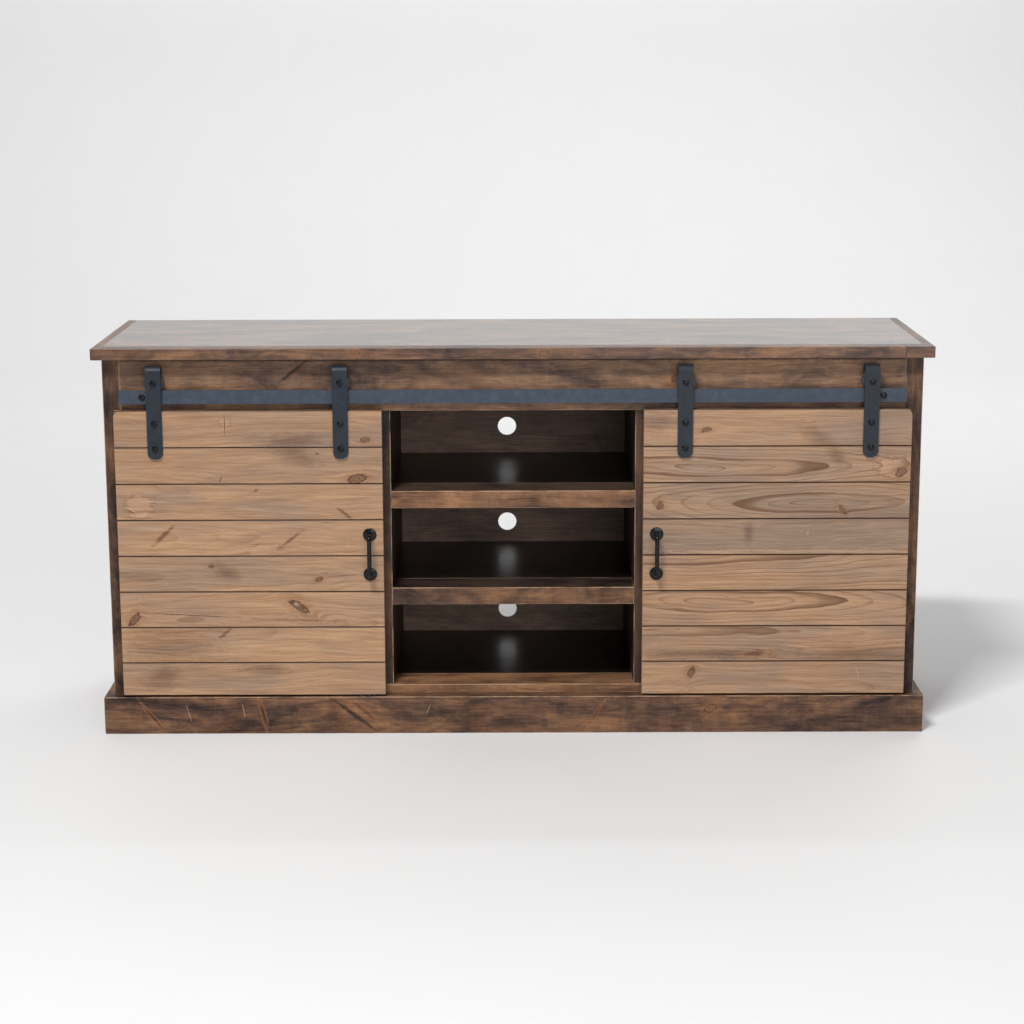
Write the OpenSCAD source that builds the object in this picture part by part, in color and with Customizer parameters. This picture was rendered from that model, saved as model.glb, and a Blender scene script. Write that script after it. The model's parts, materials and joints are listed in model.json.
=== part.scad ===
// Media console with two sliding barn doors on one flat rail, and three open bays between them.
// Millimetres. +X is right, +Y is back, +Z is up. The origin is on the floor, in the middle of
// the whole object's box. Inside the modules, y is measured back from the front edge of the top.

/* [Overall] */
// Width of the top and of the plinth
overall_w = 1829; // [1500:1:2300]
// Depth of the top, from its front edge to the back
overall_d = 508; // [400:1:700]
// Height from the floor to the surface of the top
overall_h = 868; // [760:1:1100]

/* [Top] */
// Thickness of the top and its edge strips
top_t = 25; // [18:0.5:45]
// Depth of the strip along the front edge of the top
front_trim_d = 40; // [20:1:80]
// Width of the strips at the two ends of the top
end_trim_w = 19; // [10:1:60]
// Length of the short piece that completes the front strip at its right end
trim_piece_len = 62.5; // [20:0.5:300]

/* [Carcass] */
// How far the top and plinth reach past each side panel
side_overhang = 19; // [5:1:60]
// Distance from the front of the top back to the front of the carcass
carcass_setback = 30; // [28:0.5:60]
// Thickness of side panels, dividers, stiles, header and shelf boards
board_t = 19; // [15:0.5:25]
// Width of the two front stiles
stile_w = 38; // [25:1:80]
// Height of the header board behind the rail
header_h = 117; // [90:1:180]
// Clear width of the centre bays
centre_bay_w = 537; // [400:1:700]
// Thickness of the bottom boards
bottom_t = 20; // [15:0.5:30]
// Depth of the grooves in the dividers that hold the centre shelves
dado_depth = 5; // [2:0.5:8]
// Height of the rails across the top of the back
back_rail_h = 64; // [40:1:100]

/* [Back] */
// Thickness of the back panels
back_t = 6; // [3:0.5:10]
// How far the back panels sit in from the back of the side panels
back_inset = 2; // [1.8:0.1:10]
// Width of the rebate in each side panel for the back panel
back_rebate = 9; // [4:0.5:12]
// Number of screws up each edge of a back panel
back_screw_count = 4; // [2:1:8]
// Radius of the back screws
back_screw_r = 1.5; // [1:0.1:2.5]
// Length of the back screws under the head
back_screw_len = 20; // [12:1:30]
// Radius of the back screws' heads
back_screw_head_r = 3.3; // [2.5:0.1:4]
// Thickness of the back screws' heads
back_screw_head_t = 1.6; // [1:0.1:1.8]
// Distance of the back screws from the inner faces of the boards they bite into
back_screw_edge = 4.75; // [3.5:0.25:6]
// Distance of the first and last back screw from the ends of their row
back_screw_ends = 60; // [20:5:120]

/* [Shelves] */
// Depth of the solid strip along the front of each centre shelf and of the bottom
nosing_d = 89; // [30:1:120]
// Height of the solid strip on the centre shelves
nosing_h = 39; // [20:1:60]
// Clear height of the lowest centre bay
low_bay_h = 184; // [100:1:260]
// Clear height of the middle centre bay
mid_bay_h = 180; // [100:1:260]
// Height of the side bay shelves' underside above the bottom boards
side_shelf_rise = 295; // [150:1:400]
// Distance from the carcass front back to the side bay shelves
side_shelf_setback = 30; // [20:1:120]
// Clearance round the side bay shelves
shelf_clearance = 1; // [0.5:0.1:3]

/* [Shelf pins] */
// Radius of the shelf pins
pin_r = 2.5; // [2:0.1:4]
// Length of a shelf pin
pin_len = 16; // [12:1:24]
// Depth of the shelf pin holes
pin_hole_depth = 8; // [5:0.5:10]
// Distance between pin holes up a row
pin_pitch = 32; // [20:1:50]
// Holes above and below the one in use
pin_spares = 2; // [0:1:3]
// Distance of the pins from the front and back edges of their shelf
pin_inset = 50; // [20:1:100]

/* [Cable holes] */
// Radius of the cable holes
cable_hole_r = 22; // [10:0.5:30]
// Offset of the centre bays' cable holes from the middle, to the right
cable_hole_x = -14; // [-150:1:150]
// Height of each centre cable hole above the board under it, from the lowest bay up
cable_hole_rise = [55, 49, 64]; // [30:1:120]
// Height of the side bays' cable holes above the bottom boards
side_hole_rise = 70; // [30:1:140]

/* [Plinth] */
// Height of the plinth
plinth_h = 85; // [50:1:140]
// Thickness of the plinth boards
plinth_t = 38; // [32:1:50]
// Leg length of the corner blocks inside the plinth
corner_block = 60; // [30:1:100]

/* [Doors] */
// Distance from the front of the top back to the front of the doors
door_setback = 3; // [0:0.5:6]
// Thickness of the planks
plank_t = 16; // [12:0.5:16]
// Thickness of the board behind the planks
backer_t = 6; // [4:0.5:6]
// Height of a full plank
plank_w = 81; // [50:1:140]
// Least height of the bottom plank
plank_min = 25; // [15:1:40]
// Gap between planks
plank_gap = 1.4; // [0.5:0.1:4]
// Chamfer along the long edges of each plank
plank_chamfer = 1; // [0.5:0.1:3]
// Radius of the outer top corner of the planks
door_corner_r = 14; // [4:1:40]
// How far a closed door laps over its stile
stile_lap = 12.5; // [2:0.5:25]
// How far a closed door laps over its divider
divider_lap = 2; // [0:0.5:15]
// How far the doors reach above the bottom of the header
header_lap = 5; // [0:0.5:20]
// Gap between the plinth and the doors
door_gap = 4; // [3:0.5:10]

/* [Rail] */
// Height of the flat rail
rail_h = 30; // [25:1:40]
// Thickness of the flat rail
rail_t = 5; // [4:0.5:6]
// Gap between the top of a door and the rail
rail_gap = 14.5; // [5:0.5:25]
// Distance from the end of the rail to its outer bolts
rail_bolt_inset = 51; // [25:1:150]
// Radius of the rail spacers
spacer_r = 8.5; // [6:0.5:9]
// Clearance round the bolts in the rail and its spacers
rail_hole_clearance = 0.1; // [0.05:0.05:0.5]
// Wood left behind the points of the rail bolts
rail_bolt_cover = 4; // [2:0.5:8]

/* [Wheels] */
// Radius of the wheel at the bottom of its groove
groove_r = 16.4; // [14:0.1:20]
// Depth of the wheel's groove
flange_h = 5.1; // [3:0.1:6]
// Thickness of the wheel
wheel_t = 15; // [13:0.5:16]
// Clearance between the groove and the rail, on each side
groove_clearance = 0.5; // [0.3:0.1:1]
// Gap between the wheel's groove and the top of the rail
wheel_gap = 0.3; // [0.2:0.05:0.5]
// Radius of the axle bolts
axle_r = 4; // [3:0.1:5]
// Clearance between axle and wheel
axle_clearance = 0.05; // [0.02:0.01:0.1]

/* [Straps] */
// Width of the hanger straps
strap_w = 33; // [25:1:45]
// Thickness of the hanger straps
strap_t = 5; // [3:0.5:5]
// Gap between the two legs of a strap, where the wheel turns
strap_gap = 18; // [17:0.5:18]
// Height of the strap's top above its axle
strap_rise = 37; // [34:1:44]
// Length of the front leg below the axle
strap_drop = 167; // [150:1:240]
// Length of the rear leg below the axle
rear_leg_drop = 15; // [8:1:18]
// Radius of the corners at the foot of a strap
strap_corner_r = 14; // [4:1:16]
// Distance from the door's edge to the middle of a strap
strap_inset = 90; // [40:1:150]
// Distances of the two screws below the axle
strap_screw_drop = [89, 144]; // [75:1:150]
// Radius of the screws' shanks
strap_screw_r = 3; // [2:0.1:4]

/* [Bolt heads] */
// Radius of the round flange under each hexagon head
flange_head_r = 7.4; // [6:0.1:8]
// Thickness of that flange
flange_head_t = 1.4; // [1:0.1:2]
// Radius of the hexagon head over its corners
hex_head_r = 5.8; // [4:0.1:7]
// Height of a head with its flange
head_h = 5; // [3.5:0.1:5.5]

/* [Handles] */
// Distance between the two posts of a handle
handle_cc = 89; // [64:1:160]
// How far a handle stands out from its door
handle_reach = 32; // [24:1:45]
// Diameter of the handle's rod
handle_rod_d = 10; // [7:0.5:14]
// Radius of the bends, at the middle of the rod
handle_bend_r = 12; // [8:0.5:14]
// Radius of the round plate under each post
rosette_r = 15; // [9:0.5:22]
// Thickness of that plate
rosette_t = 4; // [2:0.5:6]
// Distance from the door's inner edge to the handle
handle_inset = 30; // [20:1:80]
// Radius of the screws that hold a handle
handle_screw_r = 2; // [1.5:0.1:2.5]
// Radius of those screws' heads, sunk into the back of the door
handle_screw_head_r = 4; // [3:0.1:6]
// Thickness of those heads
handle_screw_head_t = 2.2; // [1.5:0.1:3.5]
// How far those screws reach into the posts of the handle
handle_screw_bite = 8; // [5:0.5:12]

/* [Floor guides] */
// Thickness of the guide's upright fin
fin_t = 3; // [2:0.5:4]
// Height of the fin above its plate
fin_h = 12; // [8:1:16]
// Length of a guide
guide_len = 40; // [20:1:80]
// Thickness of the guide's plate
guide_plate_t = 2; // [1:0.5:2]
// Gap between the fin and the groove in the door, on each side
fin_clearance = 1; // [0.5:0.1:2]

/* [Hidden] */
$fn = 48;
// Overshoot that carries each cut clear of the surface it starts from
cut = 1;

half_w = overall_w / 2;
carcass_half = half_w - side_overhang;
side_inner = carcass_half - board_t;
stile_inner = carcass_half - stile_w;
bay_half = centre_bay_w / 2;
divider_outer = bay_half + board_t;
top_under = overall_h - top_t;
header_z = top_under - header_h;
frame_back = carcass_setback + board_t;
back_face = overall_d - back_inset - back_t;
rebate_half = side_inner + back_rebate;
divider_mid = bay_half + board_t / 2;

bottom_z = plinth_h + bottom_t;
low_shelf_z = bottom_z + low_bay_h + nosing_h;
high_shelf_z = low_shelf_z + mid_bay_h + nosing_h;
nosing_back = carcass_setback + nosing_d;
side_shelf_z = bottom_z + side_shelf_rise;
side_shelf_front = carcass_setback + side_shelf_setback;
side_shelf_back = back_face - shelf_clearance;
pin_z = side_shelf_z - pin_r;
pin_rows = [side_shelf_front + pin_inset, side_shelf_back - pin_inset];

door_inner = divider_outer - divider_lap;
door_outer = stile_inner + stile_lap;
door_z = plinth_h + door_gap;
door_top = header_z + header_lap;
door_h = door_top - door_z;
plank_back = door_setback + plank_t;
door_back = plank_back + backer_t;
full_planks = floor((door_h - plank_min) / plank_w);

rail_z = door_top + rail_gap;
rail_top = rail_z + rail_h;
rail_mid_z = rail_z + rail_h / 2;
axle_z = rail_top + wheel_gap + groove_r;
strap_x = [door_inner + strap_inset, door_outer - strap_inset];
strap_front = door_setback - strap_t;
rear_leg_y = door_setback + strap_gap;
wheel_y = door_setback + strap_gap / 2;
rail_y = wheel_y - rail_t / 2;
rail_bolt_x = [strap_x[0], stile_inner - rail_bolt_inset];
rail_hole_r = axle_r + rail_hole_clearance;
rail_bolt_bite = board_t - rail_bolt_cover;

handle_x = door_inner + handle_inset;
handle_z = door_z + door_h / 2;
handle_rod_r = handle_rod_d / 2;
handle_rod_y = door_setback - handle_reach + handle_rod_r;

groove_w = fin_t + 2 * fin_clearance;
guide_y = door_setback + plank_t / 2;
fin_top = plinth_h + guide_plate_t + fin_h;
guide_x = door_inner + guide_len;

back_screw_x = [bay_half + back_screw_edge, divider_outer - back_screw_edge, side_inner + back_screw_edge];
back_screw_step = (top_under - plinth_h - 2 * back_screw_ends) / (back_screw_count - 1);

// Middle of the whole box, from the front of the handles to the back of the top
mid_y = (overall_d + door_setback - handle_reach) / 2;

dark_wood = [0.27, 0.19, 0.14];
inner_wood = [0.13, 0.10, 0.09];
door_wood = [0.64, 0.49, 0.36];
steel = [0.25, 0.29, 0.35];
black = [0.06, 0.06, 0.07];
zinc = [0.60, 0.60, 0.60];

// ---- Helpers ----

// Moves a piece from the front edge of the top to the origin
module placed() {
    translate([0, -mid_y, 0]) children();
}

// As placed, and mirrored to the left half
module on_left() {
    placed() mirror([1, 0, 0]) children();
}

// Block between two opposite corners
module block(low, high) {
    translate(low) cube(high - low);
}

// Round bar along +Y
module rod_y(x, y0, y1, z, r) {
    translate([x, y0, z]) rotate([-90, 0, 0]) cylinder(r = r, h = y1 - y0);
}

// Round bar along +X
module rod_x(x0, x1, y, z, r) {
    translate([x0, y, z]) rotate([0, 90, 0]) cylinder(r = r, h = x1 - x0);
}

// Hexagon head with a round flange, whose seat is at y
module flange_head(x, y, z) {
    rod_y(x, y - flange_head_t, y, z, flange_head_r);
    translate([x, y - head_h, z]) rotate([-90, 0, 0])
        cylinder(r = hex_head_r, h = head_h, $fn = 6);
}

// ---- Top ----

module top_panel() {
    color(dark_wood) placed()
        block([end_trim_w - half_w, front_trim_d, top_under], [half_w - end_trim_w, overall_d, overall_h]);
}

module top_front_trim() {
    color(dark_wood) placed()
        block([-half_w, 0, top_under], [half_w - trim_piece_len, front_trim_d, overall_h]);
}

module top_front_trim_end() {
    color(dark_wood) placed()
        block([half_w - trim_piece_len, 0, top_under], [half_w, front_trim_d, overall_h]);
}

module end_trim() {
    block([half_w - end_trim_w, front_trim_d, top_under], [half_w, overall_d, overall_h]);
}

module top_left_trim() {
    color(dark_wood) on_left() end_trim();
}

module top_right_trim() {
    color(dark_wood) placed() end_trim();
}

// ---- Carcass ----

// Row of shelf pin holes in a face at x, drilled towards +X by depth
module pin_holes(x, depth) {
    for (y = pin_rows, n = [-pin_spares : pin_spares])
        rod_x(x, x + depth, y, pin_z + n * pin_pitch, pin_r);
}

// Holes for one column of back screws
module back_screw_holes(x) {
    for (n = [0 : back_screw_count - 1])
        rod_y(x, back_face + back_t - back_screw_len, overall_d,
              plinth_h + back_screw_ends + n * back_screw_step, back_screw_r);
}

module side_panel() {
    difference() {
        block([side_inner, frame_back, plinth_h], [carcass_half, overall_d, top_under]);
        block([side_inner - cut, back_face, plinth_h - cut], [rebate_half, overall_d + cut, top_under + cut]);
        pin_holes(side_inner - cut, pin_hole_depth + cut);
        back_screw_holes(back_screw_x[2]);
    }
}

module left_side_panel() {
    color(dark_wood) on_left() side_panel();
}

module right_side_panel() {
    color(dark_wood) placed() side_panel();
}

module stile() {
    block([stile_inner, carcass_setback, plinth_h], [carcass_half, frame_back, top_under]);
}

module left_stile() {
    color(dark_wood) on_left() stile();
}

module right_stile() {
    color(dark_wood) placed() stile();
}

module header_board() {
    color(dark_wood) placed() difference() {
        block([-stile_inner, carcass_setback, header_z], [stile_inner, frame_back, top_under]);
        for (side = [-1, 1], x = rail_bolt_x)
            rod_y(side * x, carcass_setback - cut, carcass_setback + rail_bolt_bite, rail_mid_z, axle_r);
    }
}

// Divider on the right, notched for the header and grooved for the two centre shelves
module divider() {
    difference() {
        block([bay_half, carcass_setback, bottom_z], [divider_outer, back_face, top_under]);
        block([bay_half - cut, carcass_setback - cut, header_z],
              [divider_outer + cut, frame_back, top_under + cut]);
        for (z = [low_shelf_z, high_shelf_z])
            block([bay_half - cut, nosing_back, z - board_t], [bay_half + dado_depth, back_face + cut, z]);
        pin_holes(divider_outer - pin_hole_depth, pin_hole_depth + cut);
        back_screw_holes(back_screw_x[0]);
        back_screw_holes(back_screw_x[1]);
    }
}

module left_divider() {
    color(inner_wood) on_left() divider();
}

module right_divider() {
    color(inner_wood) placed() divider();
}

module bottom_panel() {
    color(inner_wood) placed()
        block([-side_inner, nosing_back, plinth_h], [side_inner, back_face, bottom_z]);
}

module bottom_front_rail() {
    color(dark_wood) placed() {
        block([-stile_inner, carcass_setback, plinth_h], [stile_inner, nosing_back, bottom_z]);
        block([-side_inner, frame_back, plinth_h], [side_inner, nosing_back, bottom_z]);
    }
}

module centre_shelf(z) {
    shelf_half = bay_half + dado_depth;
    block([-shelf_half, nosing_back, z - board_t], [shelf_half, back_face, z]);
}

module centre_nosing(z) {
    block([-bay_half, carcass_setback, z - nosing_h], [bay_half, nosing_back, z]);
}

module upper_shelf() {
    color(inner_wood) placed() centre_shelf(high_shelf_z);
}

module upper_shelf_nosing() {
    color(dark_wood) placed() centre_nosing(high_shelf_z);
}

module lower_shelf() {
    color(inner_wood) placed() centre_shelf(low_shelf_z);
}

module lower_shelf_nosing() {
    color(dark_wood) placed() centre_nosing(low_shelf_z);
}

module bay_shelf() {
    block([divider_outer + shelf_clearance, side_shelf_front, side_shelf_z],
          [side_inner - shelf_clearance, side_shelf_back, side_shelf_z + board_t]);
}

module left_bay_shelf() {
    color(inner_wood) on_left() bay_shelf();
}

module right_bay_shelf() {
    color(inner_wood) placed() bay_shelf();
}

module shelf_pins() {
    reach = pin_len - pin_hole_depth;
    color(zinc) placed() for (side = [0, 1], y = pin_rows) mirror([side, 0, 0]) {
        rod_x(divider_outer - pin_hole_depth, divider_outer + reach, y, pin_z, pin_r);
        rod_x(side_inner - reach, side_inner + pin_hole_depth, y, pin_z, pin_r);
    }
}

// ---- Back ----

module back_sheet(x0, x1) {
    block([x0, back_face, plinth_h], [x1, back_face + back_t, top_under]);
}

module cable_hole(x, z) {
    rod_y(x, back_face - cut, back_face + back_t + cut, z, cable_hole_r);
}

module side_back_panel() {
    difference() {
        back_sheet(divider_mid, rebate_half);
        cable_hole((divider_outer + side_inner) / 2, bottom_z + side_hole_rise);
        back_screw_holes(back_screw_x[1]);
        back_screw_holes(back_screw_x[2]);
    }
}

module back_panel_left() {
    color(inner_wood) on_left() side_back_panel();
}

module back_panel_right() {
    color(inner_wood) placed() side_back_panel();
}

module back_panel_centre() {
    floors = [bottom_z, low_shelf_z, high_shelf_z];
    color(inner_wood) placed() difference() {
        back_sheet(-divider_mid, divider_mid);
        for (n = [0 : len(floors) - 1])
            cable_hole(cable_hole_x, floors[n] + cable_hole_rise[n]);
        for (side = [0, 1])
            mirror([side, 0, 0]) back_screw_holes(back_screw_x[0]);
    }
}

module back_rails() {
    spans = [[-side_inner, -divider_outer], [-bay_half, bay_half], [divider_outer, side_inner]];
    color(inner_wood) placed() for (span = spans)
        block([span[0], back_face - board_t, top_under - back_rail_h], [span[1], back_face, top_under]);
}

module back_screws() {
    seat = back_face + back_t;
    color(zinc) placed() for (side = [0, 1], x = back_screw_x, n = [0 : back_screw_count - 1]) {
        z = plinth_h + back_screw_ends + n * back_screw_step;
        mirror([side, 0, 0]) {
            rod_y(x, seat - back_screw_len, seat, z, back_screw_r);
            rod_y(x, seat, seat + back_screw_head_t, z, back_screw_head_r);
        }
    }
}

// ---- Plinth ----

module plinth_front() {
    color(dark_wood) placed() linear_extrude(plinth_h)
        polygon([[-half_w, 0], [half_w, 0], [half_w - plinth_t, plinth_t], [plinth_t - half_w, plinth_t]]);
}

module plinth_side() {
    linear_extrude(plinth_h)
        polygon([[half_w, 0], [half_w, overall_d],
                 [half_w - plinth_t, overall_d], [half_w - plinth_t, plinth_t]]);
}

module plinth_left() {
    color(dark_wood) on_left() plinth_side();
}

module plinth_right() {
    color(dark_wood) placed() plinth_side();
}

module plinth_back() {
    color(dark_wood) placed()
        block([plinth_t - half_w, overall_d - plinth_t, 0], [half_w - plinth_t, overall_d, plinth_h]);
}

module plinth_braces() {
    color(inner_wood) placed() for (side = [-1, 1])
        translate([side * divider_mid, 0, 0])
            block([-plinth_t / 2, plinth_t, 0], [plinth_t / 2, overall_d - plinth_t, plinth_h]);
}

module plinth_corner_blocks() {
    x = half_w - plinth_t;
    color(inner_wood) placed() for (side = [0, 1]) mirror([side, 0, 0]) linear_extrude(plinth_h) {
        polygon([[x, plinth_t], [x, plinth_t + corner_block], [x - corner_block, plinth_t]]);
        translate([0, overall_d - plinth_t])
            polygon([[x, 0], [x - corner_block, 0], [x, -corner_block]]);
    }
}

// ---- Rail ----

module flat_rail() {
    color(steel) placed() difference() {
        block([-stile_inner, rail_y, rail_z], [stile_inner, rail_y + rail_t, rail_top]);
        for (side = [-1, 1], x = rail_bolt_x)
            rod_y(side * x, rail_y - cut, rail_y + rail_t + cut, rail_mid_z, rail_hole_r);
    }
}

module rail_spacers() {
    color(black) placed() for (side = [-1, 1], x = rail_bolt_x) difference() {
        rod_y(side * x, rail_y + rail_t, carcass_setback, rail_mid_z, spacer_r);
        rod_y(side * x, rail_y, carcass_setback + cut, rail_mid_z, rail_hole_r);
    }
}

module rail_bolts() {
    color(black) placed() for (side = [-1, 1], x = rail_bolt_x) {
        flange_head(side * x, rail_y, rail_mid_z);
        rod_y(side * x, rail_y, carcass_setback + rail_bolt_bite, rail_mid_z, axle_r);
    }
}

module floor_guides() {
    fin_y = guide_y - fin_t / 2;
    color(black) placed() for (side = [0, 1]) mirror([side, 0, 0]) {
        block([guide_x - guide_len / 2, door_setback, plinth_h],
              [guide_x + guide_len / 2, plank_back, plinth_h + guide_plate_t]);
        block([guide_x - guide_len / 2, fin_y, plinth_h], [guide_x + guide_len / 2, fin_y + fin_t, fin_top]);
    }
}

// ---- Right door, which the left door mirrors ----

// Section of a plank with chamfered front edges, from height z0 to z1
module plank_section(z0, z1) {
    c = plank_chamfer;
    y0 = door_setback;
    polygon([[y0 + c, z0], [plank_back, z0], [plank_back, z1], [y0 + c, z1], [y0, z1 - c], [y0, z0 + c]]);
}

// Outline of the door's face with its rounded outer top corner
module door_outline() {
    r = door_corner_r;
    translate([door_inner, door_z]) square([door_outer - door_inner, door_h - r]);
    translate([door_inner, door_z]) square([door_outer - door_inner - r, door_h]);
    translate([door_outer - r, door_top - r]) circle(r);
}

// Shanks of everything that screws into the door
module door_drillings() {
    for (x = strap_x, drop = strap_screw_drop)
        rod_y(x, door_setback - cut, plank_back, axle_z - drop, strap_screw_r);
    for (end = [-1, 1])
        handle_drilling(handle_z + end * handle_cc / 2);
}

module handle_drilling(z) {
    rod_y(handle_x, door_setback - cut, door_back + cut, z, handle_screw_r);
    rod_y(handle_x, door_back - handle_screw_head_t, door_back + cut, z, handle_screw_head_r);
}

module door_planks() {
    difference() {
        intersection() {
            for (n = [0 : full_planks]) {
                z1 = n == 0 ? door_top : door_top - n * plank_w - plank_gap / 2;
                z0 = n == full_planks ? door_z : door_top - (n + 1) * plank_w + plank_gap / 2;
                translate([door_inner, 0, 0]) rotate([90, 0, 90]) linear_extrude(door_outer - door_inner)
                    plank_section(z0, z1);
            }
            translate([0, plank_back + cut, 0]) rotate([90, 0, 0])
                linear_extrude(plank_t + 2 * cut) door_outline();
        }
        block([door_inner - cut, guide_y - groove_w / 2, door_z - cut],
              [door_outer + cut, guide_y + groove_w / 2, fin_top + fin_clearance]);
        door_drillings();
    }
}

module door_backer() {
    difference() {
        block([door_inner, plank_back, door_z], [door_outer, door_back, door_top]);
        door_drillings();
    }
}

// Side view of a strap: long front leg, half-round fold over the wheel, short rear leg
module strap_section() {
    fold_r = strap_gap / 2 + strap_t;
    fold_z = axle_z + strap_rise - fold_r;
    front_foot = axle_z - strap_drop;
    rear_foot = axle_z - rear_leg_drop;
    translate([strap_front, front_foot]) square([strap_t, fold_z - front_foot]);
    translate([rear_leg_y, rear_foot]) square([strap_t, fold_z - rear_foot]);
    translate([wheel_y, fold_z]) intersection() {
        difference() {
            circle(fold_r);
            circle(strap_gap / 2);
        }
        translate([-fold_r, 0]) square([2 * fold_r, fold_r]);
    }
}

// Front view of a strap, with rounded corners at its foot
module strap_outline() {
    r = strap_corner_r;
    foot = axle_z - strap_drop;
    translate([-strap_w / 2, foot + r]) square([strap_w, strap_drop + strap_rise]);
    translate([r - strap_w / 2, foot]) square([strap_w - 2 * r, 2 * r]);
    for (side = [-1, 1])
        translate([side * (strap_w / 2 - r), foot + r]) circle(r);
}

module strap(x) {
    translate([x, 0, 0]) difference() {
        intersection() {
            translate([-strap_w / 2, 0, 0]) rotate([90, 0, 90]) linear_extrude(strap_w) strap_section();
            translate([0, rear_leg_y + 2 * strap_t, 0]) rotate([90, 0, 0])
                linear_extrude(strap_gap + 4 * strap_t) strap_outline();
        }
        rod_y(0, strap_front - cut, rear_leg_y + strap_t + cut, axle_z, axle_r);
        for (drop = strap_screw_drop)
            rod_y(0, strap_front - cut, door_setback + cut, axle_z - drop, strap_screw_r);
    }
}

module strap_screws() {
    for (x = strap_x, drop = strap_screw_drop) {
        flange_head(x, strap_front, axle_z - drop);
        rod_y(x, strap_front, plank_back, axle_z - drop, strap_screw_r);
    }
}

module axles() {
    for (x = strap_x) {
        flange_head(x, strap_front, axle_z);
        rod_y(x, strap_front, rear_leg_y + strap_t, axle_z, axle_r);
    }
}

// Grooved wheel on its own axis
module wheel(x) {
    edge_r = groove_r + flange_h;
    half_t = wheel_t / 2;
    groove = rail_t / 2 + groove_clearance;
    rim = (half_t - groove) / 3;
    bore_r = axle_r + axle_clearance;
    translate([x, wheel_y, axle_z]) rotate([-90, 0, 0]) rotate_extrude($fn = 96)
        polygon([[bore_r, -half_t], [edge_r - rim / 2, -half_t],
                 [edge_r, rim / 2 - half_t], [edge_r, rim - half_t],
                 [groove_r, -groove], [groove_r, groove],
                 [edge_r, half_t - rim], [edge_r, half_t - rim / 2],
                 [edge_r - rim / 2, half_t], [bore_r, half_t]]);
}

// Quarter bend of the rod, from a post's end to the bar
module handle_bend() {
    rotate([90, 0, 90]) rotate_extrude(angle = 90)
        translate([handle_bend_r, 0]) circle(handle_rod_r);
}

module handle_bar() {
    half_cc = handle_cc / 2;
    bend_y = handle_rod_y + handle_bend_r;
    translate([handle_x, 0, handle_z]) difference() {
        union() {
            translate([0, handle_rod_y, handle_bend_r - half_cc])
                cylinder(r = handle_rod_r, h = handle_cc - 2 * handle_bend_r);
            for (end = [0, 1]) mirror([0, 0, end]) {
                rod_y(0, bend_y, door_setback, half_cc, handle_rod_r);
                translate([0, bend_y, half_cc - handle_bend_r]) mirror([0, 1, 0]) handle_bend();
            }
        }
        for (end = [-1, 1])
            rod_y(0, door_setback - handle_screw_bite, door_setback + cut, end * half_cc, handle_screw_r);
    }
}

// Round plate with a domed front, bored for the rod
module handle_rosettes() {
    rim = rosette_t / 3;
    ring_r = handle_rod_r + rim;
    for (end = [-1, 1])
        translate([handle_x, door_setback, handle_z + end * handle_cc / 2]) rotate([90, 0, 0])
            rotate_extrude()
                polygon([[handle_rod_r, 0], [rosette_r, 0], [rosette_r, rim],
                         [rosette_r - rim, 2 * rim], [ring_r, rosette_t], [handle_rod_r, rosette_t]]);
}

module handle_screws() {
    seat = door_back - handle_screw_head_t;
    for (end = [-1, 1]) {
        z = handle_z + end * handle_cc / 2;
        rod_y(handle_x, door_setback - handle_screw_bite, seat, z, handle_screw_r);
        rod_y(handle_x, seat, door_back, z, handle_screw_head_r);
    }
}

// ---- Left door ----

module left_door_planks() {
    color(door_wood) on_left() door_planks();
}

module left_door_backer() {
    color(inner_wood) on_left() door_backer();
}

module left_outer_strap() {
    color(steel) on_left() strap(strap_x[1]);
}

module left_inner_strap() {
    color(steel) on_left() strap(strap_x[0]);
}

module left_strap_screws() {
    color(black) on_left() strap_screws();
}

module left_axles() {
    color(black) on_left() axles();
}

module left_outer_wheel() {
    color(black) on_left() wheel(strap_x[1]);
}

module left_inner_wheel() {
    color(black) on_left() wheel(strap_x[0]);
}

module left_handle_bar() {
    color(black) on_left() handle_bar();
}

module left_handle_rosettes() {
    color(black) on_left() handle_rosettes();
}

module left_handle_screws() {
    color(zinc) on_left() handle_screws();
}

// ---- Right door ----

module right_door_planks() {
    color(door_wood) placed() door_planks();
}

module right_door_backer() {
    color(inner_wood) placed() door_backer();
}

module right_outer_strap() {
    color(steel) placed() strap(strap_x[1]);
}

module right_inner_strap() {
    color(steel) placed() strap(strap_x[0]);
}

module right_strap_screws() {
    color(black) placed() strap_screws();
}

module right_axles() {
    color(black) placed() axles();
}

module right_outer_wheel() {
    color(black) placed() wheel(strap_x[1]);
}

module right_inner_wheel() {
    color(black) placed() wheel(strap_x[0]);
}

module right_handle_bar() {
    color(black) placed() handle_bar();
}

module right_handle_rosettes() {
    color(black) placed() handle_rosettes();
}

module right_handle_screws() {
    color(zinc) placed() handle_screws();
}

top_panel();
top_front_trim();
top_front_trim_end();
top_left_trim();
top_right_trim();
left_side_panel();
right_side_panel();
left_stile();
right_stile();
header_board();
left_divider();
right_divider();
bottom_panel();
bottom_front_rail();
upper_shelf();
upper_shelf_nosing();
lower_shelf();
lower_shelf_nosing();
left_bay_shelf();
right_bay_shelf();
shelf_pins();
back_panel_left();
back_panel_centre();
back_panel_right();
back_rails();
back_screws();
plinth_front();
plinth_left();
plinth_right();
plinth_back();
plinth_braces();
plinth_corner_blocks();
flat_rail();
rail_spacers();
rail_bolts();
floor_guides();
left_door_planks();
left_door_backer();
left_outer_strap();
left_inner_strap();
left_strap_screws();
left_axles();
left_outer_wheel();
left_inner_wheel();
left_handle_bar();
left_handle_rosettes();
left_handle_screws();
right_door_planks();
right_door_backer();
right_outer_strap();
right_inner_strap();
right_strap_screws();
right_axles();
right_outer_wheel();
right_inner_wheel();
right_handle_bar();
right_handle_rosettes();
right_handle_screws();
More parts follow.
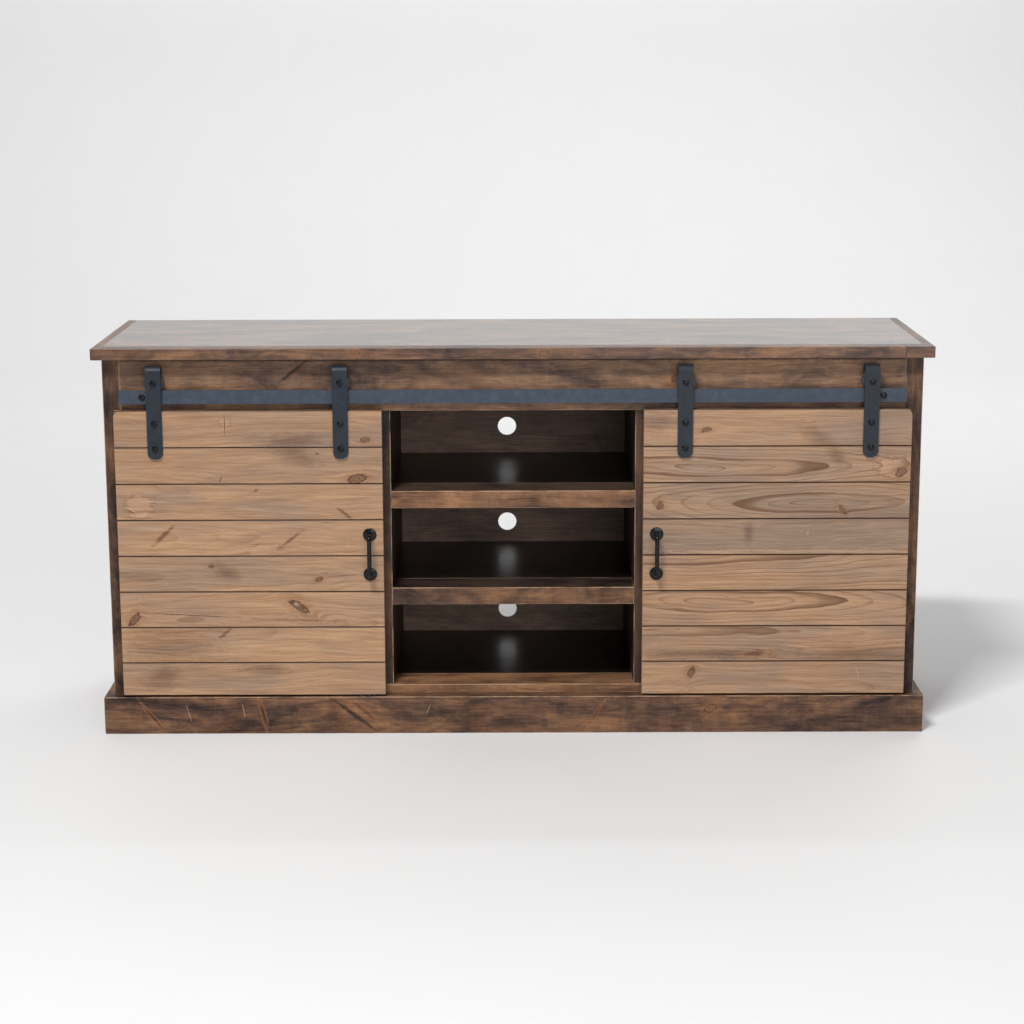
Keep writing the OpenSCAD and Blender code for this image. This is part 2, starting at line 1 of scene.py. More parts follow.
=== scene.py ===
"""Looks of the media console: weathered boards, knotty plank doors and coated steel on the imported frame."""

import json
import math

import bmesh
import bpy
from mathutils import Matrix, Vector, noise


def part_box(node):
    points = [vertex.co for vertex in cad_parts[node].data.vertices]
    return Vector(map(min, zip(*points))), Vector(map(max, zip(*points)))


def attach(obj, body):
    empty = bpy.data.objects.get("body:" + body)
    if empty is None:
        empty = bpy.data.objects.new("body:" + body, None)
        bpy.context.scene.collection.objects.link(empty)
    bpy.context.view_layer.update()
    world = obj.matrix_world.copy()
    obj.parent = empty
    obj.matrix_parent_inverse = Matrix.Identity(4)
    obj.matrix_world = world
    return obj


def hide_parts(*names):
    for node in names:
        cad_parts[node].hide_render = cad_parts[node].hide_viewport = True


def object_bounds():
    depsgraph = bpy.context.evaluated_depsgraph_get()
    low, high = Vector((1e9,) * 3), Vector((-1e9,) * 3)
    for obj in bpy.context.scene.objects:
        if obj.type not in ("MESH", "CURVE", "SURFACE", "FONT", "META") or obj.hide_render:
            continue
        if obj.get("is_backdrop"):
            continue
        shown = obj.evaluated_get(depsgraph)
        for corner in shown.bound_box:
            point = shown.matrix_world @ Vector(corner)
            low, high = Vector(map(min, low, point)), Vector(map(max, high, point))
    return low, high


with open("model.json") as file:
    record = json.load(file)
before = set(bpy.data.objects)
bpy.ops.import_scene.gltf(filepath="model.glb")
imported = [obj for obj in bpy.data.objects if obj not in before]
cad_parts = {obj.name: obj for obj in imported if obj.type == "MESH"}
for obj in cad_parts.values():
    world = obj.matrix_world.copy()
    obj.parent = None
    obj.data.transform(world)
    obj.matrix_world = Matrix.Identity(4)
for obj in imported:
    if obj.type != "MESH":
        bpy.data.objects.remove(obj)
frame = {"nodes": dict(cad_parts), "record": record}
cad_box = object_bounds()

MM = 0.001
X, Y, Z = 0, 1, 2
BODY_OF = {node: body for body, nodes in frame["record"]["behaviour"]["bodies"].items() for node in nodes}

# Colours are linear. A set of stains goes from where it is thinnest to where it is deepest
DOOR_TAN = (0.50, 0.308, 0.176)
DOOR_GREY = (0.355, 0.250, 0.180)
DOOR_LINE = (0.190, 0.094, 0.046)
# Painted shade of the plank edges beside the grooves
DOOR_GROOVE_SHADE = (0.070, 0.035, 0.020)
DARK_TAN = (0.40, 0.205, 0.100)
DARK_BROWN = (0.112, 0.060, 0.040)
DARK_DEEP = (0.026, 0.016, 0.013)
INNER_TAN = (0.105, 0.066, 0.046)
INNER_BROWN = (0.036, 0.023, 0.018)
INNER_DEEP = (0.010, 0.007, 0.006)
DARK = (DARK_TAN, DARK_BROWN, DARK_DEEP)
INNER = (INNER_TAN, INNER_BROWN, INNER_DEEP)
BACK = ((0.32, 0.215, 0.165), (0.165, 0.112, 0.092), (0.060, 0.042, 0.036))
HEADER = ((0.43, 0.250, 0.142), (0.120, 0.073, 0.057), (0.028, 0.0195, 0.0185))
SHELF = ((0.011, 0.0075, 0.006), (0.005, 0.0035, 0.003), (0.002, 0.0015, 0.0015))
DIVIDER_EDGE = ((0.20, 0.100, 0.055), (0.070, 0.038, 0.026), (0.020, 0.012, 0.010))
WORN_BEIGE = (0.46, 0.30, 0.185)
RAIL_TINT = (0.046, 0.060, 0.084)
STRAP_TINT = (0.019, 0.025, 0.034)
KNOT_HEART = (0.10, 0.042, 0.020)
KNOT_RIM = (0.045, 0.020, 0.011)
KNOT_RING = (0.26, 0.125, 0.058)
KNOT_CHECK = (0.018, 0.010, 0.007)
KNOT_HALO = (0.27, 0.115, 0.048)
CLOUD_TINT = (0.47, 0.405, 0.375)
SAPWOOD = (0.60, 0.375, 0.235)
RESIN_DARK = (0.115, 0.042, 0.018)
RESIN_LIGHT = (0.36, 0.155, 0.062)
RESIN_LINE = (0.065, 0.028, 0.014)
# Dark of the wood's checks, and of the painted shadow line under the top
CRACK_AND_SHADOW_LINE_DARK = (0.030, 0.015, 0.009)
NICK_PALE = (0.42, 0.31, 0.23)
DOOR_STREAK = (0.62, 0.53, 0.47)
DOOR_FIBRE = (0.62, 0.52, 0.45)
DARK_CLOUD = (0.50, 0.46, 0.47)
DARK_STREAK = (0.60, 0.54, 0.52)
DARK_FIBRE = (0.50, 0.43, 0.38)
BLACK_STEEL = ((0.003, 0.004, 0.005), (0.007, 0.008, 0.010), (0.020, 0.020, 0.022))
NYLON = ((0.014, 0.015, 0.018), (0.032, 0.034, 0.040), (0.07, 0.072, 0.08))
ZINC = ((0.42, 0.42, 0.41), (0.62, 0.61, 0.58))
PAINT = ((0.80, 0.80, 0.80), (0.82, 0.82, 0.82))
WOOD_RELIEF = 0.4 * MM


def new_object(name, data):
    """An object in the scene with this mesh, lamp or camera."""
    item = bpy.data.objects.new(name, data)
    bpy.context.scene.collection.objects.link(item)
    return item


# ---- Node trees ----


class Graph:
    """A node tree with short calls for the nodes that the materials use."""

    def __init__(self, tree):
        self.tree = tree

    def add(self, kind, **settings):
        node = self.tree.nodes.new(kind)
        for name, value in settings.items():
            setattr(node, name, value)
        return node

    def feed(self, socket, value):
        """Links the socket to another node's output, or sets it to a plain value."""
        if isinstance(value, bpy.types.NodeSocket):
            self.tree.links.new(value, socket)
        else:
            socket.default_value = value

    def position(self):
        """Places on the object, in metres."""
        return self.add("ShaderNodeTexCoord").outputs["Object"]

    def maths(self, operation, *values, clamp=False):
        node = self.add("ShaderNodeMath", operation=operation, use_clamp=clamp)
        for socket, value in zip(node.inputs, values):
            self.feed(socket, value)
        return node.outputs[0]

    def vector(self, operation, *values):
        node = self.add("ShaderNodeVectorMath", operation=operation)
        for socket, value in zip(node.inputs, values):
            self.feed(socket, value)
        return node.outputs["Value" if operation == "LENGTH" else "Vector"]

    def split(self, value):
        node = self.add("ShaderNodeSeparateXYZ")
        self.feed(node.inputs[0], value)
        return list(node.outputs)

    def join(self, *values):
        node = self.add("ShaderNodeCombineXYZ")
        for socket, value in zip(node.inputs, values):
            self.feed(socket, value)
        return node.outputs[0]

    def noise(self, place, stretch=(1, 1, 1), detail=2.0, roughness=0.5, distortion=0.0):
        """Noise from 0 to 1, with this many features per metre along each axis."""
        node = self.add("ShaderNodeTexNoise")
        self.feed(node.inputs["Vector"], self.vector("MULTIPLY", place, stretch))
        node.inputs["Scale"].default_value = 1.0
        node.inputs["Detail"].default_value = detail
        node.inputs["Roughness"].default_value = roughness
        node.inputs["Distortion"].default_value = distortion
        return node.outputs["Fac"]

    def span(self, value, low, high, to_low=0.0, to_high=1.0, smooth=False):
        """Maps low..high to to_low..to_high, and holds it at the ends."""
        node = self.add("ShaderNodeMapRange", interpolation_type="SMOOTHSTEP" if smooth else "LINEAR")
        for socket, number in zip(node.inputs, (value, low, high, to_low, to_high)):
            self.feed(socket, number)
        return node.outputs[0]

    def ramp(self, value, *stops):
        """Colours or greys at places from 0 to 1."""
        node = self.add("ShaderNodeValToRGB")
        elements = node.color_ramp.elements
        while len(elements) < len(stops):
            elements.new(1.0)
        for element, (place, shade) in zip(elements, stops):
            element.position = place
            element.color = (*shade, 1.0) if isinstance(shade, tuple) else (shade, shade, shade, 1.0)
        self.feed(node.inputs[0], value)
        return node.outputs[0]

    def mix(self, factor, a, b, blend="MIX"):
        node = self.add("ShaderNodeMix", data_type="RGBA", blend_type=blend)
        self.feed(node.inputs[0], factor)
        for socket, value in ((node.inputs[6], a), (node.inputs[7], b)):
            self.feed(socket, (*value, 1.0) if isinstance(value, tuple) else value)
        return node.outputs[2]

    def group(self, tree, **values):
        node = self.add("ShaderNodeGroup", node_tree=tree)
        for name, value in values.items():
            self.feed(node.inputs[name.capitalize()], value)
        return node.outputs


def make_group(name, inputs, outputs, build):
    """A node group, from the kinds of its sockets by name. build returns its outputs by name."""
    tree = bpy.data.node_groups.new(name, "ShaderNodeTree")
    for direction, sockets in (("INPUT", inputs), ("OUTPUT", outputs)):
        for socket, kind in sockets.items():
            tree.interface.new_socket(socket, in_out=direction, socket_type="NodeSocket" + kind)
    graph = Graph(tree)
    entry = graph.add("NodeGroupInput").outputs
    exit_node = graph.add("NodeGroupOutput")
    for socket, value in build(graph, entry).items():
        graph.feed(exit_node.inputs[socket], value)
    return tree


def new_material(name):
    """A material, the graph of its nodes and its shader."""
    material = bpy.data.materials.new(name)
    material.use_nodes = True
    return material, Graph(material.node_tree), material.node_tree.nodes["Principled BSDF"]


def add_bump(g, shader, height, strength, distance):
    """Raises the surface by up to distance where height is 1."""
    bump = g.add("ShaderNodeBump")
    bump.inputs["Strength"].default_value = strength
    bump.inputs["Distance"].default_value = distance
    g.feed(bump.inputs["Height"], height)
    g.feed(shader.inputs["Normal"], bump.outputs[0])


# ---- Wood ----


def build_rings(g, inputs):
    """Growth rings round a pith that lies behind the face and drifts along the board."""
    along, across, depth = g.split(inputs["Place"])
    heart_across, heart_depth, drift = g.split(inputs["Heart"])
    place = g.vector("ADD", inputs["Place"], inputs["Shift"])
    slow = g.noise(place, (2.2, 7.0, 7.0), detail=2.0)
    quick = g.noise(place, (9.0, 34.0, 34.0), detail=3.0, roughness=0.6)
    sway = g.maths("ADD", g.span(slow, 0, 1, -0.022, 0.022), g.span(quick, 0, 1, -0.0045, 0.0045))
    out = g.maths("ADD", g.maths("ADD", g.maths("SUBTRACT", across, heart_across), inputs["Bend"]), sway)
    down = g.maths("ADD", g.maths("SUBTRACT", depth, heart_depth), g.maths("MULTIPLY", along, drift))
    down = g.maths("ADD", down, g.span(g.noise(place, (5.0, 1.0, 1.0)), 0, 1, -0.012, 0.012))
    radius = g.vector("LENGTH", g.join(out, down, 0.0))
    count = g.maths("DIVIDE", radius, inputs["Spacing"])
    uneven = g.noise(g.join(count, 0.0, 0.0), (0.7, 1, 1), detail=1.0)
    count = g.maths("ADD", count, g.span(uneven, 0, 1, -0.8, 0.8))
    saw = g.maths("FRACT", count)
    late = g.ramp(saw, (0.0, 0.0), (0.58, 0.06), (0.86, 0.66), (0.94, 1.0), (1.0, 0.0))
    year = g.noise(g.join(g.maths("FLOOR", count), 0.0, 0.0), (0.77, 1, 1), detail=0.0)
    late = g.maths("MULTIPLY", late, g.span(year, 0.3, 0.7, 0.35, 1.0))
    fade = g.noise(place, (4.0, 16.0, 16.0), detail=2.0)
    late = g.maths("MULTIPLY", late, g.span(fade, 0.32, 0.55, 0.30, 1.0))
    grain = g.vector("ADD", g.join(along, out, depth), inputs["Shift"])
    fibre = g.noise(grain, (11.0, 330.0, 330.0), detail=5.0, roughness=0.72)
    streak = g.noise(grain, (3.5, 120.0, 60.0), detail=4.0, roughness=0.62)
    cloud = g.noise(place, (4.5, 15.0, 15.0), detail=3.0, roughness=0.55, distortion=0.6)
    return {"Late": late, "Fibre": fibre, "Streak": streak, "Cloud": cloud}


RINGS = make_group(
    "wood_rings",
    {"Place": "Vector", "Shift": "Vector", "Heart": "Vector", "Spacing": "Float", "Bend": "Float"},
    {"Late": "Float", "Fibre": "Float", "Streak": "Float", "Cloud": "Float"},
    build_rings,
)


def build_spot(g, inputs):
    """A point's distance from a spot, which is 1 at the spot's edge, and how the grain bends round it."""
    from_centre = g.vector("SUBTRACT", inputs["Place"], inputs["Centre"])
    wobble = g.noise(inputs["Place"], (55, 90, 55), detail=5.0, roughness=0.68, distortion=0.5)
    turned = g.add("ShaderNodeVectorRotate", rotation_type="Z_AXIS")
    g.feed(turned.inputs["Vector"], from_centre)
    g.feed(turned.inputs["Angle"], g.maths("MULTIPLY", inputs["Tilt"], -1.0))
    x, y, _ = g.split(turned.outputs[0])
    size = inputs["Size"]
    x = g.maths("DIVIDE", x, g.maths("MULTIPLY", size, inputs["Stretch"]))
    y = g.maths("DIVIDE", y, size)
    distance = g.vector("LENGTH", g.join(x, y, 0.0))
    distance = g.maths("MULTIPLY", distance, g.span(wobble, 0.25, 0.75, 0.55, 1.45))
    near = g.maths("EXPONENT", g.maths("MULTIPLY", g.maths("MULTIPLY", distance, distance), -0.22))
    _, off, _ = g.split(from_centre)
    bend = g.maths("MULTIPLY", g.maths("MULTIPLY", off, near), -0.85)
    return {"Distance": distance, "Bend": g.maths("ADD", inputs["Bend"], bend)}


SPOT = make_group(
    "wood_spot",
    {
        "Place": "Vector", "Centre": "Vector", "Size": "Float", "Stretch": "Float", "Tilt": "Float",
        "Bend": "Float",
    },
    {"Distance": "Float", "Bend": "Float"},
    build_spot,
)


def paint_knot(g, colour, distance, fibre):
    """A grown-in knot: dark rim, red-brown heart with its own rings and a few drying checks."""
    rings = g.maths("SINE", g.maths("MULTIPLY", distance, 13.0))
    heart = g.mix(g.span(rings, -1, 1, 0.1, 0.8), KNOT_HEART, KNOT_RING)
    heart = g.mix(g.span(distance, 0.72, 0.98, 0.0, 0.9), heart, KNOT_RIM)
    check = g.span(fibre, 0.56, 0.64)
    heart = g.mix(g.maths("MULTIPLY", check, g.span(distance, 1.0, 0.3)), heart, KNOT_CHECK)
    halo = g.span(distance, 3.0, 0.9, 0.0, 0.55, smooth=True)
    halo = g.maths("MULTIPLY", halo, g.span(fibre, 0.3, 0.6, 0.5, 1.0))
    colour = g.mix(halo, colour, KNOT_HALO)
    return g.mix(g.span(distance, 1.12, 0.92, 0.0, 0.94, smooth=True), colour, heart)


def paint_cloud(g, colour, distance, fibre):
    """A soft dark mineral stain."""
    amount = g.span(distance, 1.5, 0.1, 0.0, 0.85, smooth=True)
    amount = g.maths("MULTIPLY", amount, g.span(fibre, 0.3, 0.7, 0.6, 1.0))
    return g.mix(amount, colour, CLOUD_TINT, "MULTIPLY")


def paint_pale(g, colour, distance, fibre):
    """A paler patch, where a branch's sapwood reaches the face."""
    amount = g.span(distance, 1.1, 0.75, 0.0, 0.62, smooth=True)
    colour = g.mix(g.maths("MULTIPLY", amount, g.span(fibre, 0.3, 0.7, 1.0, 0.5)), colour, SAPWOOD)
    edge = g.maths("MULTIPLY", g.span(distance, 0.85, 1.0), g.span(distance, 1.25, 1.0))
    return g.mix(g.maths("MULTIPLY", edge, g.span(fibre, 0.4, 0.6, 0.1, 0.6)), colour, DOOR_LINE)


def paint_streak(g, colour, distance, fibre):
    """A brown streak of resin or a spike knot seen from its side."""
    shade = g.mix(g.span(distance, 0.35, 1.0), RESIN_DARK, RESIN_LIGHT)
    shade = g.mix(g.span(fibre, 0.45, 0.62, 0.0, 0.75), shade, RESIN_LINE)
    amount = g.span(distance, 1.35, 0.75, 0.0, 0.80, smooth=True)
    return g.mix(g.maths("MULTIPLY", amount, g.span(fibre, 0.3, 0.55, 0.45, 1.0)), colour, shade)


def paint_crack_and_shadow_line(g, colour, distance, fibre):
    """A fine dark check in the wood, and the painted shadow line under the top."""
    amount = g.maths("MULTIPLY", g.span(distance, 1.3, 0.6, 0.0, 0.9), g.span(fibre, 0.3, 0.5, 0.6, 1.0))
    return g.mix(amount, colour, CRACK_AND_SHADOW_LINE_DARK)


def paint_nick(g, colour, distance, fibre):
    """A bright nick through the finish."""
    return g.mix(g.span(distance, 1.1, 0.7, 0.0, 0.6), colour, NICK_PALE)


# The kinds of spot, and those of them that the growth lines cross
PAINTS = {
    "knot": paint_knot,
    "cloud": paint_cloud,
    "pale": paint_pale,
    "streak": paint_streak,
    "crack": paint_crack_and_shadow_line,
    "nick": paint_nick,
}
UNDER_THE_LINES = ("pale", "cloud")


def board_place(g, centre, axes):
    """Coordinates of a board: along its grain, across its face and into its depth, from its centre."""
    parts = g.split(g.vector("SUBTRACT", g.position(), tuple(centre)))
    return g.join(*(parts[axis] for axis in axes))


def half_of(box, axes):
    """Half the size of a board along its own axes."""
    low, high = box
    size = (high - low) / 2
    return tuple(size[axis] for axis in axes)


def edge_nearness(g, place, half):
    """How far a point of the surface is from the nearest edge of its board, in metres."""
    gaps = g.split(g.vector("SUBTRACT", tuple(half), g.vector("ABSOLUTE", place)))
    low = g.maths("MINIMUM", gaps[0], gaps[1])
    high = g.maths("MAXIMUM", gaps[0], gaps[1])
    return g.maths("MAXIMUM", low, g.maths("MINIMUM", high, gaps[2]))


def measure_spots(g, place, spots):
    """The spots' distances, and how far the grain bends round those that bend it."""
    bend = 0.0
    distances = []
    for kind, along, across, size, stretch, tilt in spots:
        outputs = g.group(
            SPOT, place=place, centre=(along, across, 0.0), size=size, stretch=stretch,
            tilt=math.radians(tilt), bend=bend,
        )
        distances.append((kind, outputs["Distance"]))
        if kind == "knot":
            bend = outputs["Bend"]
    return bend, distances


def finish_wood(g, shader, colour, height, roughness, specular, coat, relief):
    """The shader of a stained and lacquered board."""
    g.feed(shader.inputs["Base Color"], colour)
    g.feed(shader.inputs["Roughness"], roughness)
    shader.inputs["Specular IOR Level"].default_value = specular
    shader.inputs["Coat Weight"].default_value = coat
    shader.inputs["Coat Roughness"].default_value = 0.22
    add_bump(g, shader, height, relief, WOOD_RELIEF)


def paint_spots(g, colour, distances, fibre, under):
    """Paints the spots that lie under the growth lines, or those that lie over them."""
    for kind, distance in distances:
        if (kind in UNDER_THE_LINES) == under:
            colour = PAINTS[kind](g, colour, distance, fibre)
    return colour


def hollow_spots(g, height, distances, depth):
    """The height, sunk at knots and cracks."""
    for kind, distance in distances:
        if kind in ("knot", "crack"):
            height = g.maths("SUBTRACT", height, g.span(distance, 1.15, 0.8, 0.0, depth, smooth=True))
    return height


# How far in from the long edges of a plank the painted shade of the grooves ends, and how far in it is full
GROOVE_SHADE_END = 1.7 * MM
GROOVE_SHADE_FULL = 0.7 * MM


def door_wood(name, box, seed, heart, spacing, line, grey, light, spots):
    """Satin knotty alder of a door plank, with painted shade darkening its long edges, as in the grooves
    between planks.
    """
    material, g, shader = new_material(name)
    low, high = box
    place = board_place(g, (low + high) / 2, (X, Z, Y))
    bend, distances = measure_spots(g, place, spots)
    shift = (seed * 3.71, seed * 1.37, seed * 2.93)
    rings = g.group(RINGS, place=place, shift=shift, heart=heart, spacing=spacing * MM, bend=bend)
    late, fibre, streak, cloud = (rings[k] for k in ("Late", "Fibre", "Streak", "Cloud"))
    tone = g.maths("ADD", g.span(cloud, 0.35, 0.65, grey - 0.5, grey + 0.5), 0.0, clamp=True)
    colour = g.mix(tone, tuple(c * light for c in DOOR_TAN), tuple(c * light for c in DOOR_GREY))
    colour = paint_spots(g, colour, distances, fibre, under=True)
    colour = g.mix(g.maths("MULTIPLY", late, 1.5 * line), colour, DOOR_LINE)
    colour = g.mix(g.span(streak, 0.38, 0.64, 0.0, 0.48), colour, DOOR_STREAK, "MULTIPLY")
    colour = g.mix(g.span(fibre, 0.36, 0.62, 0.0, 0.65), colour, DOOR_FIBRE, "MULTIPLY")
    colour = g.mix(g.span(fibre, 0.62, 0.70, 0.0, 0.45), colour, DOOR_LINE)
    colour = paint_spots(g, colour, distances, fibre, under=False)
    height = g.maths("SUBTRACT", g.maths("MULTIPLY", fibre, 0.35), g.maths("MULTIPLY", late, 0.35))
    height = hollow_spots(g, height, distances, 0.7)
    half = half_of(box, (X, Z, Y))
    _, across, _ = g.split(g.vector("ABSOLUTE", place))
    groove = g.maths("SUBTRACT", half[1], across)
    # Painted shade: the plank's long edges are darkened as if in the shade of the grooves
    groove_shade = g.span(groove, GROOVE_SHADE_END, GROOVE_SHADE_FULL, 0.0, 0.80, smooth=True)
    colour = g.mix(groove_shade, colour, DOOR_GROOVE_SHADE)
    roughness = g.span(g.maths("ADD", fibre, late), 0.3, 1.5, 0.40, 0.56)
    finish_wood(g, shader, colour, height, roughness, 0.40, 0.0, 0.55)
    return material


def dark_colour(g, level, stains):
    """Stain from its deepest to its thinnest, as level goes from 0 to 1."""
    tan, brown, deep = stains
    between = tuple((a + b) / 2 for a, b in zip(brown, tan))
    return g.ramp(level, (0.0, deep), (0.34, brown), (0.68, between), (1.0, tan))


# How far in from a board's edges the wear ends, and how far in it is full
WEAR_END = 2.4 * MM
WEAR_FULL = 0.3 * MM

# How deep the front's own stains reach in full
FRONT_SKIN = 1.0 * MM

DARK_RING_SPACING = 6.5 * MM


def dark_wood(name, box, axes, seed, patch=0.5, wear=1.0, gloss=0.0, spots=(), stains=DARK, front=None):
    """Scraped and stained knotty board. patch sets how much tan shows through the brown, and front gives
    other stains to the edge that faces the front."""
    material, g, shader = new_material(name)
    low, high = box
    place = board_place(g, (low + high) / 2, axes)
    bend, distances = measure_spots(g, place, spots)
    shift = (seed * 2.17, seed * 4.31, seed * 1.73)
    heart = (0.02 * math.sin(seed * 5.0), -0.04, 0.02 * math.cos(seed * 3.0))
    rings = g.group(RINGS, place=place, shift=shift, heart=heart, spacing=DARK_RING_SPACING, bend=bend)
    late, fibre, streak, cloud = (rings[k] for k in ("Late", "Fibre", "Streak", "Cloud"))
    shifted = g.vector("ADD", place, shift)
    wide = g.noise(shifted, (3.4, 11.0, 11.0), detail=4.0, roughness=0.6, distortion=1.2)
    rub = g.noise(shifted, (11.0, 27.0, 27.0), detail=5.0, roughness=0.64, distortion=1.4)
    scrape = g.noise(shifted, (75.0, 22.0, 22.0), detail=3.0, roughness=0.6, distortion=0.8)
    level = g.maths("ADD", g.maths("MULTIPLY", wide, 0.54), g.maths("MULTIPLY", rub, 0.36))
    level = g.maths("ADD", level, g.maths("MULTIPLY", scrape, 0.10))
    level = g.maths("ADD", level, g.span(streak, 0.3, 0.7, -0.04, 0.04))
    level = g.maths("ADD", level, g.maths("MULTIPLY", late, -0.05))
    middle = 0.60 - 0.20 * patch
    level = g.span(level, middle - 0.16, middle + 0.16)
    colour = dark_colour(g, level, stains)
    if front:
        depth = g.split(g.position())[Y]
        near_front = g.span(depth, low.y + 2 * FRONT_SKIN, low.y + FRONT_SKIN)
        colour = g.mix(near_front, colour, dark_colour(g, level, front))
    colour = paint_spots(g, colour, distances, fibre, under=True)
    colour = g.mix(g.span(cloud, 0.52, 0.72, 0.0, 0.6), colour, DARK_CLOUD, "MULTIPLY")
    colour = g.mix(g.span(streak, 0.40, 0.68, 0.0, 0.45), colour, DARK_STREAK, "MULTIPLY")
    colour = g.mix(g.span(fibre, 0.38, 0.64, 0.0, 0.75), colour, DARK_FIBRE, "MULTIPLY")
    colour = paint_spots(g, colour, distances, fibre, under=False)
    height = g.maths("SUBTRACT", g.maths("MULTIPLY", fibre, 0.4), g.maths("MULTIPLY", late, 0.25))
    height = g.maths("ADD", height, g.maths("MULTIPLY", rub, 0.6 * (1.0 - gloss)))
    height = hollow_spots(g, height, distances, 0.8)
    edge = edge_nearness(g, place, half_of(box, axes))
    patchy = g.span(g.noise(shifted, (16, 30, 30), detail=4.0, roughness=0.65), 0.40, 0.56, 0.15, 1.0)
    rubbed = g.span(edge, WEAR_END, WEAR_FULL, 0.0, wear * (1.0 - 0.85 * gloss), smooth=True)
    colour = g.mix(g.maths("MULTIPLY", patchy, rubbed), colour, WORN_BEIGE)
    roughness = g.span(g.maths("ADD", fibre, rub), 0.6, 1.4, 0.44 - 0.16 * gloss, 0.60 - 0.22 * gloss)
    coat = 0.7 * gloss ** 2
    finish_wood(g, shader, colour, height, roughness, 0.25 + 0.17 * gloss, coat, 0.55 - 0.4 * gloss)
    return material


# ---- Metal ----


def powder_steel(name, tint):
    """Matt blue-grey powder coat with a fine orange peel and faint rub marks."""
    material, g, shader = new_material(name)
    place = g.position()
    grain = g.noise(place, (1500, 1500, 1500), detail=2.0)
    rub = g.noise(place, (60, 60, 60), detail=4.0, roughness=0.6)
    colour = g.ramp(g.span(rub, 0.3, 0.7), (0.0, tuple(c * 0.80 for c in tint)), (0.6, tint),
                    (1.0, tuple(c * 1.25 for c in tint)))
    colour = g.mix(g.span(grain, 0.58, 0.72, 0.0, 0.35), colour, tuple(c * 2.0 for c in tint))
    g.feed(shader.inputs["Base Color"], colour)
    g.feed(shader.inputs["Roughness"], g.span(rub, 0.3, 0.7, 0.42, 0.55))
    shader.inputs["Specular IOR Level"].default_value = 0.25
    add_bump(g, shader, grain, 0.25, 0.12 * MM)
    return material


def black_steel():
    """Blackened steel with a waxed, slightly uneven sheen."""
    material, g, shader = new_material("black_steel")
    place = g.position()
    mottle = g.noise(place, (220, 220, 220), detail=4.0, roughness=0.6)
    grain = g.noise(place, (1800, 1800, 1800), detail=1.0)
    colour = g.ramp(g.span(mottle, 0.3, 0.75), *zip((0.0, 0.7, 1.0), BLACK_STEEL))
    g.feed(shader.inputs["Base Color"], colour)
    g.feed(shader.inputs["Roughness"], g.span(mottle, 0.3, 0.75, 0.12, 0.24))
    shader.inputs["Specular IOR Level"].default_value = 0.24
    add_bump(g, shader, g.maths("ADD", mottle, g.maths("MULTIPLY", grain, 0.3)), 0.2, 0.15 * MM)
    return material


def turned_nylon(node):
    """Black wheel with the fine rings of a lathe, round its own axle."""
    material, g, shader = new_material("turned_" + node)
    low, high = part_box(node)
    middle = (low + high) / 2
    place = g.vector("SUBTRACT", g.position(), tuple(middle))
    x, y, z = g.split(place)
    radius = g.vector("LENGTH", g.join(x, 0.0, z))
    lathe = g.noise(g.join(radius, y, 0.0), (2600, 1400, 1), detail=2.0)
    mottle = g.noise(place, (90, 90, 90), detail=3.0)
    colour = g.mix(g.span(mottle, 0.3, 0.7), NYLON[0], NYLON[1])
    colour = g.mix(g.span(lathe, 0.55, 0.75, 0.0, 0.4), colour, NYLON[2])
    g.feed(shader.inputs["Base Color"], colour)
    g.feed(shader.inputs["Roughness"], g.span(lathe, 0.3, 0.7, 0.30, 0.48))
    add_bump(g, shader, lathe, 0.3, 0.15 * MM)
    return material


def zinc_steel():
    """Zinc-plated steel with a fine crystal mottle."""
    material, g, shader = new_material("zinc_steel")
    mottle = g.noise(g.position(), (500, 500, 500), detail=3.0, roughness=0.6)
    colour = g.mix(g.span(mottle, 0.3, 0.7), *ZINC)
    g.feed(shader.inputs["Base Color"], colour)
    g.feed(shader.inputs["Roughness"], g.span(mottle, 0.3, 0.7, 0.28, 0.45))
    shader.inputs["Metallic"].default_value = 1.0
    add_bump(g, shader, mottle, 0.15, 0.1 * MM)
    return material


# ---- Boards ----

# How far short of the middle the mesh lines round an edge stop
LEAST_SPAN = 0.1 * MM


def lines_between(low, high, radius, step, extra=()):
    """Places of the mesh lines from face to face: close together round the eased edges, and at extra."""
    edge = [0.0, radius * (1 - math.tan(math.pi / 8)), radius, *(radius + e for e in extra)]
    edge = [e for e in edge if e < (high - low) / 2 - LEAST_SPAN]
    start, end = low + edge[-1], high - edge[-1]
    count = max(1, round((end - start) / step))
    inside = [start + (end - start) * n / count for n in range(1, count)]
    return [low + e for e in edge] + inside + [high - e for e in reversed(edge)]


def box_skin(lines):
    """Vertices and quads of a box's skin, with mesh lines at the given places along X, Y and Z."""
    places, quads, index = [], [], {}
    last = [len(row) - 1 for row in lines]

    def vertex(key):
        if key not in index:
            index[key] = len(places)
            places.append(Vector(lines[axis][key[axis]] for axis in (X, Y, Z)))
        return index[key]

    for axis in (X, Y, Z):
        u, v = (axis + 1) % 3, (axis + 2) % 3
        for end in (0, last[axis]):
            for a in range(last[u]):
                for b in range(last[v]):
                    ring = []
                    for p, q in ((a, b), (a + 1, b), (a + 1, b + 1), (a, b + 1)):
                        key = [0, 0, 0]
                        key[axis], key[u], key[v] = end, p, q
                        ring.append(vertex(tuple(key)))
                    quads.append(ring if end else ring[::-1])
    return places, quads


def eased(place, low, high, radius):
    """The point moved onto the box with rounded edges, and how far round an edge it is."""
    inner = Vector(min(max(place[i], low[i] + radius), high[i] - radius) for i in range(3))
    out = place - inner
    turning = sorted(abs(c) for c in out)[1] / radius
    if turning > 1e-4:
        out = out.normalized() * radius
    return inner + out, turning


# Dents of the edges and waves of the faces, per metre
DENT_PITCH = 42.0
WAVE_PITCH = 9.0

# How near a face a point has to be to wear with it
SKIN = 2.5 * MM


